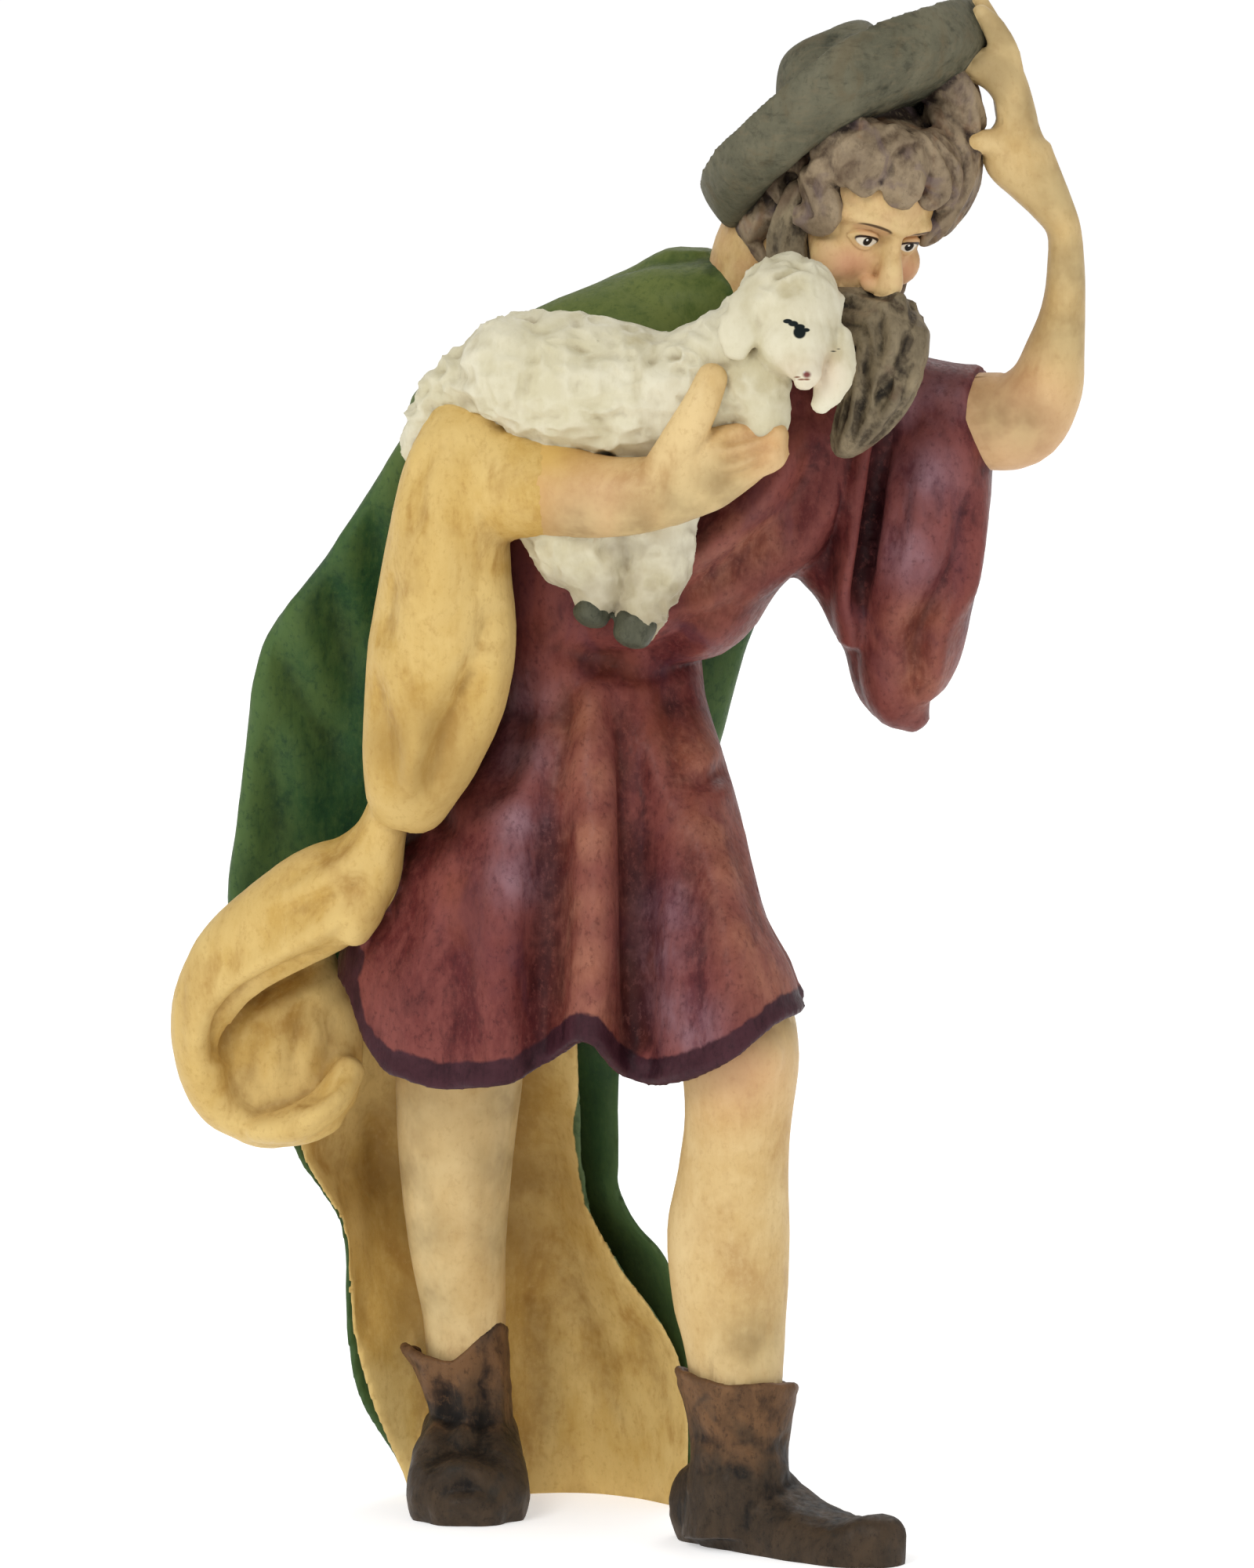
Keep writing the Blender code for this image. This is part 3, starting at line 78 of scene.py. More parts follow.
def smooth_rows(rows, count):
    """count rows on the Catmull-Rom curve through rows."""
    rows = np.array(rows, float)
    if len(rows) == 2:
        t = np.linspace(0, 1, count)[:, None]
        return rows[0] * (1 - t) + rows[1] * t
    ends = np.vstack([2 * rows[0] - rows[1], rows, 2 * rows[-1] - rows[-2]])
    t = np.linspace(0, len(rows) - 1, count)
    i = np.minimum(t.astype(int), len(rows) - 2)
    f = (t - i)[:, None]
    a, b, c, d = ends[i], ends[i + 1], ends[i + 2], ends[i + 3]
    return 0.5 * (2 * b + (c - a) * f + (2 * a - 5 * b + 4 * c - d) * f**2 + (3 * b - a - 3 * c + d) * f**3)


class Clay:
    """A heap of closed shapes that are fused later."""

    def __init__(self):
        self.points = []
        self.faces = []

    def add(self, points, faces):
        start = sum(len(p) for p in self.points)
        self.points.append(np.array(points, float))
        self.faces.extend([[start + i for i in f] for f in faces])

    def add_rings(self, rings):
        self.add(*rings_to_closed(np.array(rings)))

    def mesh(self, name):
        mesh = bpy.data.meshes.new(name)
        mesh.from_pydata(np.vstack(self.points).tolist(), [], self.faces)
        mesh.update()
        return mesh


def unit(v):
    v = np.array(v, float)
    return v / np.maximum(np.linalg.norm(v, axis=-1, keepdims=True), 1e-9)


def rings_to_closed(rings):
    """Points and faces of the closed surface over a stack of rings."""
    count, sides, _ = rings.shape
    points = np.vstack([rings.reshape(-1, 3), rings[0].mean(0), rings[-1].mean(0)])
    faces = []
    for r in range(count - 1):
        for s in range(sides):
            t = (s + 1) % sides
            faces.append([r * sides + s, r * sides + t, (r + 1) * sides + t, (r + 1) * sides + s])
    first, last = count * sides, count * sides + 1
    for s in range(sides):
        t = (s + 1) % sides
        faces.append([first, t, s])
        faces.append([last, (count - 1) * sides + s, (count - 1) * sides + t])
    return points, faces


def loft(clay, rows, sides=28, across=None, power=2.0, ends=(1.0, 1.0), flat=False, steps=4):
    """A closed limb through rows of (across, depth, height, half width, half depth)."""
    rows = np.array(rows, float)
    fine = smooth_rows(rows, (len(rows) - 1) * steps + 1)
    centre = fine[:, :3] if flat else seen(fine[:, :3])
    along = unit(np.gradient(centre, axis=0))
    if across is None:
        wide = unit(np.cross(along, VIEW))
    else:
        a = np.array(across, float)
        wide = unit(a - (along @ a)[:, None] * along)
    deep = np.cross(wide, along)
    angle = np.linspace(0, 2 * np.pi, sides, endpoint=False)
    c, s = np.cos(angle), np.sin(angle)
    c = np.sign(c) * np.abs(c) ** (2 / power)
    s = np.sign(s) * np.abs(s) ** (2 / power)

    def ring(i, shrink, shift):
        return (
            centre[i] + along[i] * shift
            + shrink * (np.outer(c * fine[i, 3], wide[i]) + np.outer(s * fine[i, 4], deep[i]))
        )

    rings = []
    caps = (0.97, 0.85, 0.6, 0.3)
    if ends[0] > 0:
        size = ends[0] * min(fine[0, 3], fine[0, 4])
        rings += [ring(0, math.sqrt(1 - k * k), -k * size) for k in caps]
    rings += [ring(i, 1.0, 0.0) for i in range(len(fine))]
    if ends[1] > 0:
        size = ends[1] * min(fine[-1, 3], fine[-1, 4])
        rings += [ring(len(fine) - 1, math.sqrt(1 - k * k), k * size) for k in reversed(caps)]
    rings = np.array(rings)
    clay.add_rings(rings)
    return rings


def ball(clay, centre, radii, axes=None, sides=24, flat=False):
    """An ellipsoid. axes are its three unit directions as rows."""
    radii = np.ones(3) * radii
    axes = np.eye(3) if axes is None else np.array(axes, float)
    middle = np.array(centre, float) if flat else seen(centre)[0]
    rings = []
    for lat in np.linspace(-90, 90, sides // 2 + 1)[1:-1]:
        a = np.radians(lat)
        t = np.linspace(0, 2 * np.pi, sides, endpoint=False)
        local = np.stack([np.cos(a) * np.cos(t), np.cos(a) * np.sin(t), np.sin(a) * np.ones(sides)], 1)
        rings.append(middle + (local * radii) @ axes)
    points, faces = rings_to_closed(np.array(rings))
    points[-2] = middle + (np.array([0, 0, -1]) * radii) @ axes
    points[-1] = middle + (np.array([0, 0, 1]) * radii) @ axes
    clay.add(points, faces)


def turned(yaw, pitch, roll):
    """Rows are the right, back and up directions of a thing that faced -Y.

    It is turned by yaw to +X, pitched down and rolled clockwise as seen.
    """
    y, p, r = (math.radians(a) for a in (yaw, pitch, roll))
    m = Matrix.Rotation(r, 3, "Y") @ Matrix.Rotation(y, 3, "Z") @ Matrix.Rotation(p, 3, "X")
    return np.array(m.transposed())


def grain(size):
    return size * 1.0


def fuse(clay, name, voxel, rounds=2):
    """One closed mesh object from the heap."""
    mesh = clay.mesh(name)
    bm = bmesh.new()
    bm.from_mesh(mesh)
    bmesh.ops.recalc_face_normals(bm, faces=bm.faces)
    bm.to_mesh(mesh)
    bm.free()
    obj = bpy.data.objects.new(name, mesh)
    bpy.context.scene.collection.objects.link(obj)
    remesh = obj.modifiers.new("Fuse", "REMESH")
    remesh.mode = "VOXEL"
    remesh.voxel_size = voxel
    smooth = obj.modifiers.new("Smooth", "SMOOTH")
    smooth.factor = 0.5
    smooth.iterations = rounds
    return applied(obj)


def coords(obj):
    co = np.empty(len(obj.data.vertices) * 3, np.float32)
    obj.data.vertices.foreach_get("co", co)
    return co.reshape(-1, 3).astype(float)


def put(obj, co):
    obj.data.vertices.foreach_set("co", co.astype(np.float32).ravel())
    obj.data.update()


def normals(obj):
    n = np.empty(len(obj.data.vertices) * 3, np.float32)
    obj.data.vertex_normals.foreach_get("vector", n)
    return n.reshape(-1, 3).astype(float)


def around(obj, values, rounds):
    """values at the points, evened out over their neighbours."""
    edges = np.empty(len(obj.data.edges) * 2, np.int32)
    obj.data.edges.foreach_get("vertices", edges)
    a, b = edges[::2], edges[1::2]
    count = np.bincount(a, minlength=len(values)) + np.bincount(b, minlength=len(values))
    for _ in range(rounds):
        total = [np.bincount(a, v[b], len(v)) + np.bincount(b, v[a], len(v)) for v in values.T]
        total = np.stack(total, 1)
        values = 0.5 * values + 0.5 * total / count[:, None]
    return values


def to_path(co, path):
    """Distance of each point to the polyline and how far along it the nearest point is, 0 to 1."""
    best = np.full(len(co), 1e9)
    where = np.zeros(len(co))
    lengths = np.linalg.norm(np.diff(path, axis=0), axis=1)
    total = lengths.sum()
    start = 0.0
    for a, b, length in zip(path[:-1], path[1:], lengths):
        ab = b - a
        t = np.clip(((co - a) @ ab) / max(ab @ ab, 1e-12), 0, 1)
        d = np.linalg.norm(co - (a + t[:, None] * ab), axis=1)
        near = d < best
        best[near] = d[near]
        where[near] = (start + t[near] * length) / total
        start += length
    return best, where


STROKE_FADE = 0.25


def stroke(obj, n, points, width, depth):
    """A chisel stroke seen from the front: depth > 0 cuts a groove, < 0 leaves a ridge.

    n are the soft normals, points are (across, height as seen).
    """
    co = coords(obj)
    flat = on_drawing(co)
    path = smooth_rows(points, (len(points) - 1) * 6 + 1)
    low, high = path.min(0) - 4.5 * width, path.max(0) + 4.5 * width
    facing = -(n @ VIEW)
    near = np.nonzero(((flat > low) & (flat < high)).all(1) & (facing > 0.05))[0]
    if not len(near):
        return
    d, t = to_path(flat[near], path)
    # cloth banks up a little on both sides of the cut
    w = np.exp(-((d / width) ** 2)) - 0.3 * np.exp(-(((d - 2.1 * width) / width) ** 2))
    w *= np.clip(facing[near] * 2.5, 0, 1)
    w *= np.clip(t / STROKE_FADE, 0, 1) ** 0.7 * np.clip((1 - t) / STROKE_FADE, 0, 1) ** 0.7
    co[near] -= n[near] * (depth * w)[:, None]
    put(obj, co)


# legs and boots
def legs():
    clay = Clay()
    loft(clay, [
        (-21, 11, 70, 8.5, 8.6), (-21.6, 12, 57, 8.2, 9), (-22, 13, 47, 7.4, 8.6), (-21.8, 14, 36, 6.3, 7),
        (-21, 15, 27, 5.4, 5.8), (-20.6, 15, 18, 5, 5.4),
    ])
    loft(clay, [
        (7, -5, 82, 7.5, 8), (11.8, -12, 71, 8, 8.4), (13.3, -16, 65, 8, 8.6), (14.3, -17.5, 60, 7.6, 8.8),
        (14.1, -17.5, 52.5, 6.8, 7.4), (13.5, -16.5, 45, 7.1, 7.8), (12.9, -15, 38, 7.8, 8.4),
        (13.1, -15, 30, 7.4, 7.6), (13.6, -15.5, 25, 6.6, 6.6), (13.9, -16, 19, 5.9, 6), (14, -16, 12, 5.4, 5.6),
    ])
    # kneecap and the calf's swell
    ball(clay, (15.6, -23.2, 60.5), (4.4, 3.4, 4.6))
    ball(clay, (13, -13.6, 37.5), (7.4, 8.3, 11.5))
    return clay


def shaft(clay, rows, rim, sides=48, levels=18):
    """A boot's shaft, open at the top, whose rim rises and falls round the ankle."""
    angle = np.linspace(-np.pi, np.pi, sides, endpoint=False)
    rise = np.interp(np.degrees(angle), *rim)
    rings = []
    for k, (x, y, h, a, b) in enumerate(smooth_rows(rows, levels)):
        v = k / (levels - 1)
        rings.append(seen(np.stack([x + a * np.cos(angle), y + b * np.sin(angle), h + rise * v**3], 1)))
    middle = rings[-1].mean(0)
    welt(clay, rings[-1], 0.75)
    for shrink, drop in ((0.84, 0.1), (0.78, 2.4), (0.5, 4)):
        rings.append(middle + (rings[levels - 1] - middle) * (shrink, shrink, 1) - (0, 0, drop))
    clay.add_rings(rings)


def boots():
    clay = Clay()
    # left boot: shaft, then the foot turned towards the right front
    shaft(clay, [(14, -15, -1, 7, 7.6), (14.2, -15.5, 6, 6.5, 7.4), (14.3, -15.5, 10, 6.2, 6.9),
            (14.2, -15.5, 14.5, 6.8, 7), (13.9, -15.5, 18.6, 7.9, 7.8)],
          ([-180, -150, -100, -60, -20, 20, 90, 150, 180], [1.9, 1.2, -0.6, -0.2, -0.4, -0.5, 0.6, 1.2, 1.9]))
    heel, toe = np.array([11, -9.8]), np.array([33.4, -30.6])
    way = unit(toe - heel)
    across = (way[1], -way[0], 0)
    rows = []
    for t, half, top in ((-3.6, 3, 4), (-2, 4.9, 6), (1, 6, 11), (5.5, 6.3, 11.5), (10.5, 6.4, 8.8), (15.5, 6.5, 6.6),
                         (20.5, 6.5, 5.5), (24.5, 6.2, 5.4), (27.8, 5.2, 6.2), (30.2, 2.9, 6)):
        p = heel + way * t
        rows.append((p[0], p[1], (top - 3) / 2, half, (top + 3) / 2))
    loft(clay, rows, across=across, power=2.6, flat=True, ends=(0.4, 0.5), steps=3)
    # right boot, its toe towards the viewer
    shaft(clay, [(-20.3, 16, -2, 6.4, 8), (-20.2, 16, 5, 6.2, 7.5), (-19.9, 15, 10, 5.4, 6.6),
            (-20.2, 15.5, 15, 5.4, 6.2), (-22.2, 15.5, 21, 7, 7)],
          ([-180, -150, -115, -90, -65, -35, 0, 60, 120, 180], [1.5, 0.9, -0.5, -0.9, 1.6, 4.4, 3.6, 1.6, 0.6, 1.5]))
    rows = []
    for y, x, half, top in ((27, -20, 4.5, 8), (24, -20, 6, 12), (18, -20.2, 6.6, 14), (13, -20.4, 7.2, 12.5),
            (8.4, -20.5, 7.8, 10.6),
                            (5, -20.5, 7.9, 9), (2, -20.5, 7, 7.4), (0.4, -20.5, 5, 5.4)):
        rows.append((x, y, (top - 3) / 2, half, (top + 3) / 2))
    loft(clay, rows, across=(1, 0, 0), power=2.6, flat=True, ends=(0.4, 0.5), steps=3)
    return clay


# tunic
def tunic():
    clay = Clay()
    loft(clay, [
        (-1.6, 2, 112.6, 9.4, 12), (0.4, 1, 117.2, 10.4, 15), (4.2, 0, 121.8, 13.6, 17), (7.4, -1, 127, 14, 17.5),
        (11.6, -2, 134.6, 16.8, 16.5), (19, -2, 143, 16.5, 14), (23, -2, 148.5, 13.5, 11), (22, -3, 154, 8, 8),
    ], power=2.3, ends=(0.3, 0.4))
    # cloth in the shadow between the forearm's drape and the waist
    loft(clay, [(-8, -4, 136, 8, 9), (-9, -5, 126, 8, 9.5), (-9, -4, 117, 7.5, 9.5), (-7.5, -2, 108, 9, 11)],
            ends=(0.6, 0.6))
    skirt(clay)
    # the hanging sleeve
    loft(clay, [
        (41.6, -4, 146, 3.6, 6), (41, -4, 143.5, 5.2, 8), (40.2, -5, 138, 6.4, 9.5), (39.2, -5, 132, 7, 10.5),
        (38, -5, 125, 7.2, 11), (37, -5, 119, 7.1, 10.5), (36.2, -5, 113.5, 6.7, 9.5), (35.2, -5, 109, 5.9, 8.5),
        (35.3, -5, 105.4, 4.4, 7), (37, -5, 102.9, 1.8, 4),
    ], power=2.5, ends=(0.6, 0.5))
    loft(clay, [
        (29, 0, 143, 7.5, 10), (28.6, 0, 134, 7.2, 9.5), (27.2, -1, 127, 6.6, 8.5), (27, -1, 123.4, 6, 8),
        (27.8, -1, 119.8, 4, 7.5), (29, -1.5, 115.6, 3, 6.6), (30.4, -2, 112.6, 2.8, 6), (31.6, -2, 108, 2.8, 4.5),
        (33, -3, 105, 2.2, 3.5),
    ], ends=(0.6, 0.6))
    # the cloth left of the sleeve's groove
    loft(clay, [(31, -4.5, 141, 4, 9), (29.6, -5, 134, 3.4, 9.2), (28.8, -5, 127, 3, 9), (28.2, -5, 120.5, 2.6, 8.2),
            (28.6, -4.5, 114, 2, 6.5)], ends=(0.6, 0.6))
    loft(clay, [(28, -3, 143.5, 7, 9), (36, -4, 142.8, 6.7, 8.4), (40.5, -5, 142, 6.6, 8),
            (44.4, -6, 141.6, 6.6, 7.4)], ends=(0.5, 0.08))
    return clay


# the tunic's lower edge in front: across, and height as seen
HEM = ([-38, -35.6, -33.5, -31, -24, -14, -10, -6.5, -3.5, -0.5, 2.5, 8, 14, 19, 23],
        [72, 68, 62, 58.3, 56.2, 57, 60, 62.8, 62.2, 58.4, 56.6, 57.8, 60.8, 64.6, 66.5])


HEM_WELT = 0.9


def welt(clay, ring, thick, sides=8):
    """A round cord along a closed line."""
    along = unit(np.roll(ring, -1, 0) - np.roll(ring, 1, 0))
    out = unit(np.cross(along, (0, 0, 1)))
    rise = np.cross(out, along)
    turn = np.linspace(0, 2 * np.pi, sides, endpoint=False)[:, None, None]
    # just inside the cloth's face
    ring = ring - 0.75 * thick * out * np.sign(((ring - ring.mean(0)) * out).sum(1).mean())
    points = (ring + thick * (np.cos(turn) * out + np.sin(turn) * rise)).transpose(1, 0, 2).reshape(-1, 3)
    count = len(ring)
    clay.add(points, [[r * sides + s, r * sides + (s + 1) % sides, (r + 1) % count * sides + (s + 1) % sides,
            (r + 1) % count * sides + s] for r in range(count) for s in range(sides)])


def skirt(clay, sides=120, levels=44):
    rows = smooth_rows([
        (-2.6, 3, 113, 11.9, 12), (-3.5, 2, 106, 13.6, 14.5), (-4.4, 1, 98, 17, 17.5), (-7.2, 0, 89, 22.2, 19),
        (-8.6, -1, 78, 26.2, 20), (-7.8, -1, 70, 28.7, 21), (-7.2, -1, 63, 29.6, 21.5),
    ], levels)
    angle = np.linspace(0, 2 * np.pi, sides, endpoint=False)
    rings = []
    for k, (x, y, h, hw, hd) in enumerate(rows):
        v = k / (levels - 1)
        c, s = np.cos(angle), np.sin(angle)
        px = x + hw * c
        py = y + hd * s
        # the cloth over the advancing thigh
        step = np.clip((px + 1) / 17, 0, 1)
        step = step * step * (3 - 2 * step)
        py = py - step * np.where(s < 0, 16, 9) * min(1, 1.5 * v) ** 1.2
        plain = np.stack([px, py], 1)
        front = np.clip(-s * 2, 0, 1)
        fold = np.zeros(sides)
        for top, bottom, width, high in ((-5, -4.6, 3.4, 4.6), (-9.5, -10.8, 2.6, -3.2), (-9, -17.5, 4, 1.8),
                (2.2, 1.4, 2.6, -3.2),
                                         (-14, -23, 2.6, -0.9), (-17, -28, 4, 1.2)):
            place = top + (bottom - top) * v
            fold += high * np.exp(-(((px - place) / width) ** 2))
        back = np.clip(s * 2, 0, 1)
        fold_back = 1.4 * np.sin(angle * 9 + 0.6)
        lift = (fold * front + fold_back * back) * v**0.7
        px = px + lift * c * 0.3
        py = py + lift * s
        hem = np.interp(px, *HEM)
        hem = np.where(s > 0.05, np.maximum(hem + 2, 60), hem)
        ph = h + (hem - rows[-1][2]) * v**3
        rings.append(seen(np.stack([px, py, ph], 1)))
    # the hollow underside
    last = rings[-1]
    welt(clay, last + (0, 0, 0.7 * HEM_WELT), HEM_WELT)
    middle = plain.mean(0)
    for shrink, rise in ((0.68, 1), (0.45, 2.5)):
        flat = middle + (plain - middle) * shrink
        rings.append(np.column_stack([flat, last[:, 2] + rise]))
    clay.add_rings(rings)
    # the cloth is thick behind its deepest fold
    ball(clay, (3.4, -19, 60.4), (3.2, 2.8, 2.6))


# cloak
def sheet(clay, rows, folds, sides=64):
    """Thick curved cloth through level rows; folds gives what is added to its depth."""
    t = np.linspace(0, 2 * np.pi, sides, endpoint=False)
    u, w = np.cos(t), np.sin(t)
    rings = []
    for k, (left, right, h, mid, curl_left, curl_right, thick) in enumerate(rows):
        x = (left + right) / 2 + (right - left) / 2 * u
        curl = np.where(u < 0, curl_left, curl_right) * np.abs(u) ** 2.5
        y = mid - curl + thick * np.sign(w) * np.abs(w) ** 0.8 + folds(x, u, w, k / (len(rows) - 1))
        rings.append(np.stack([x, y, np.full(sides, seen([(0, mid, h)])[0, 2])], 1))
    clay.add_rings(rings)


def cloak_back():
    """The green back of the cloak: a thick curved sheet from the shoulders to the ground."""
    clay = Clay()
    # across left, across right, seen height, middle depth, forward curl of the left and right edges, half thickness
    rows = smooth_rows([
        (5, 11, 163, -1, 0, 0, 3), (-1.5, 14, 160, 3, 2, 2, 6), (-13, 19, 155, 7, 5, 3, 8),
        (-21.3, 24, 149.5, 10, 7, 5, 9), (-26.5, 27, 144, 12, 9, 6, 9), (-31.5, 26, 136, 14, 10, 6, 9),
        (-38, 21.6, 126, 16, 10, 6, 9), (-45.7, 16.4, 116, 18, 10, 5, 9), (-47.8, 14.2, 109, 19, 10, 5, 9),
        (-49, 11.8, 100, 20, 9, 4, 9), (-50.2, 8.6, 90, 21, 8, 4, 8.5), (-51.4, 4, 80, 22, 8, 4, 8),
        (-49, 0.5, 69, 22, 8, 3, 7.5), (-46, -1, 58, 27, 12, 9, 5), (-42.2, -1, 48.5, 30, 14, 13, 4),
        (-39.8, -1, 45, 30.5, 14, 14, 3.8), (-37.2, 1.2, 40.5, 31, 14, 15, 3.7), (-36.4, 5.4, 35.5, 31, 14, 16, 3.7),
        (-36.2, 8.2, 26, 31, 13, 16, 3.7), (-34.6, 8.8, 17, 31, 11, 16, 3.7), (-29.6, 8.4, 8, 31, 7, 16, 3.7),
        (-25.4, 8, -1, 31, 5, 16, 3.7),
    ], 90)
    # broad hanging folds on the back
    def folds(x, u, w, v):
        return 1.5 * min(1, 3 * v) * np.sin(u * 7.5 + 0.5 + 1.2 * v) * np.clip(w * 2, 0, 1) * (1 - u**4)

    sheet(clay, rows, folds)
    # over the shoulder, behind the lamb
    loft(clay, [(14, -5, 158.2, 4.2, 7), (6, -5, 153.4, 8, 9.5), (-5, -6, 148.5, 9, 10.5), (-15, -6, 144.5, 8, 11),
            (-22, -5, 140, 7, 10)], ends=(0.7, 0.7))
    return clay


def lining():
    """The yellow lining that hangs over the forearm and turns out at the lower left."""
    clay = Clay()
    loft(clay, [
        (-20.2, -20, 138.6, 5, 6), (-20.4, -22, 136.8, 6.4, 8), (-21.3, -22, 133, 7.2, 9), (-22.3, -21, 128, 7.5, 10),
        (-22.8, -20, 122, 8.2, 10.5), (-23.2, -19, 114, 9.3, 11), (-24.2, -18, 107, 9.1, 10.5),
        (-25.8, -17, 100.4, 7.9, 9.5), (-27, -15, 96, 6.4, 8), (-27.6, -13, 93.6, 5.2, 6.5),
    ], power=2.4, ends=(0.6, 0.35))
    # the cloth runs into the forearm
    loft(clay, [(-22, -21, 134.4, 7.4, 8.8), (-18, -23.5, 133.8, 7.2, 7.8), (-13.5, -26.5, 132.7, 6.6, 6.9),
            (-9, -28.4, 132, 5.7, 6)], ends=(0.6, 0.5))
    loft(clay, [(-21, -10, 138, 6, 10), (-24, -8, 128, 5, 10), (-26, -8, 112, 5, 10), (-28.5, -8, 96, 4, 8)],
            ends=(0.6, 0.6))
    # the pinch, then the turned edge sweeping to the left
    loft(clay, [
        (-30.2, -12, 92.4, 2.6, 4.5), (-31.4, -11, 88.4, 3.4, 5), (-34, -10, 83.8, 5.6, 6.5),
        (-38.4, -8.5, 80.6, 6.8, 6.6), (-44, -6, 77.2, 6.4, 6.2), (-49.4, -2.5, 73.4, 5.6, 6),
        (-53, 0.5, 68.8, 4.6, 6), (-54.8, 2.5, 63.6, 3.6, 6), (-54.2, 4, 58, 3.2, 5.6), (-51.8, 5, 53.8, 3, 5),
        (-48.2, 5, 51.4, 2.6, 4.6),
    ], ends=(0.6, 0.8), power=2.3)
    loft(clay, [(-32.6, -11, 85, 2.8, 4), (-33.4, -12, 80, 3, 4.2), (-34.8, -11.5, 76.4, 2.4, 3.6)], ends=(0.8, 0.8))
    # the hollow cloth inside the turned edge
    loft(clay, [(-43, 7, 76, 6, 4), (-44.8, 7.5, 71.5, 9.8, 5), (-45.6, 7.5, 68, 11.4, 5.4),
            (-45.8, 7.4, 65, 11.6, 5.6), (-45, 7, 59, 11.4, 5.4), (-44, 6.6, 54.4, 10, 5),
            (-43.6, 6, 51.4, 7.4, 4.2)],
         ends=(0.6, 0.7), power=2.5)
    loft(clay, [(-46.5, 2.5, 50.9, 2, 4), (-42.5, 0.5, 51.6, 2.4, 4.4), (-38.4, 0, 54.2, 2.4, 4.4),
            (-35.4, 1.5, 58.4, 2, 4)], ends=(0.8, 0.8))
    # the lining going down behind the right leg to the ground
    rows = smooth_rows([
        (-42, -6.2, 69, 16, 8, 6), (-42, -6.2, 62, 19, 9, 7), (-42, -6, 55, 23, 12, 9), (-41.8, -5.8, 49, 26, 13,
                11), (-39.6, -5.2, 45.2, 27.5, 14, 12), (-37, -4.4, 41, 27.5, 14, 12),
        (-36, -2.2, 37, 27.5, 14, 13), (-35.8, 0.4, 33, 27.5, 14, 14), (-35.6, 4.2, 28, 27.5, 13, 15), (-34.4, 7.2,
                22, 27.5, 12, 15), (-32.4, 8, 15, 27.5, 10, 15),
        (-29.2, 7.8, 7, 27.5, 6, 15), (-25.6, 7.6, -2, 27.5, 4, 15)], 56)
    # it comes forward to meet the right leg
    sheet(clay, [(*row, 2.6) for row in rows], lambda x, u, w, v: -5.0 * np.exp(-(((x + 21) / 6.5) ** 2)))
    return clay


# arms
def raised_arm():
    clay = Clay()
    loft(clay, [
        (40, -6, 141.4, 5.6, 5.8), (44.5, -7, 141.1, 6.1, 6.1), (49.5, -9, 141.3, 6.2, 6.1),
        (52.8, -10.5, 145, 5, 5.4), (54.2, -11.5, 150, 3.8, 4.6), (55.2, -12, 155, 2.8, 3.8),
        (55.5, -13, 160, 2.4, 3.3), (55.2, -13, 165, 2.2, 3.1), (53.6, -13, 168.2, 2.8, 3.3),
        (51.4, -12.5, 171.5, 3.7, 3.6), (49.2, -12, 175, 4.5, 3.7), (49.2, -11.5, 178.5, 2.8, 3.5),
        (48.8, -11, 181, 2.3, 3.2),
    ], steps=5)
    # thumb to the left under the brim, then four fingers up to the brim's end
    loft(clay, [(50, -13, 173.6, 2.4, 2.4), (48, -13.5, 175.4, 2.2, 2.1), (45.8, -14, 176, 1.8, 1.8),
            (44.2, -14.2, 176, 1.4, 1.6), (42.8, -14.2, 175.6, 1, 1.2)], sides=16)
    # the fingers' roots, closed over the brim's underside
    loft(clay, [(49.6, -12, 178.6, 2.4, 3.4), (48.4, -12.5, 182.6, 2.5, 3.4), (46.8, -12.6, 185, 2.9, 3),
            (44.6, -12.4, 185.6, 2.4, 2.8), (42.6, -12, 185.8, 1.7, 2.4)], sides=20)
    for back, far in ((-13.6, 192.4), (-11.2, 193.8), (-8.8, 194), (-6.5, 192.8)):
        loft(clay, [(48.8, back, 177.5, 1.8, 1.6), (48.3, back, 182.5, 2.1, 1.4), (47.8, back + 0.3, 187, 1.9, 1.35),
                    (46.2, back + 0.8, 190.6, 1.45, 1.25), (44.6, back + 1.2, far, 1.15, 1.05)], sides=16)
    return clay


def forearm():
    clay = Clay()
    loft(clay, [
        (-20, -18, 131.5, 6.8, 7.5), (-15, -24, 132.6, 6.5, 6.8), (-9.5, -28, 132.2, 6, 6.2),
        (-4, -31, 131.2, 5.3, 5.4), (1, -33, 131.2, 4.9, 4.8), (5.5, -34, 132.2, 4.6, 4.4), (9.5, -34, 134.2, 4.9, 4),
    ], steps=5)
    loft(clay, [(5, -34, 131.8, 4.6, 4.2), (9.5, -35, 134.2, 5.2, 3.6), (13.5, -35, 136, 4.4, 3.3),
            (16.4, -34, 137.4, 3.4, 2.8), (18, -33, 138.6, 2.4, 2.4)], sides=20)
    loft(clay, [(3.5, -35, 132.5, 2.9, 2.8), (6.5, -36.5, 137.5, 2.7, 2.4), (9, -37, 142, 2.4, 2.1),
            (10.7, -36, 146, 2, 1.8)], sides=16)
    for k in range(4):
        loft(clay, [(11 + 1.2 * k, -36.0 + 0.5 * k, 133.4 + 1.3 * k, 1.4, 1.6),
                (15.6 + 0.5 * k, -36.4 + 0.5 * k, 134.4 + 1.2 * k, 1.3, 1.5),
                    (18.4 + 0.1 * k, -35.4, 135.4 + 1.1 * k, 1.2, 1.4), (19.4 - 0.1 * k, -33.5, 136.4 + 1.0 * k, 1,
                            1.2)], sides=12)
    return clay


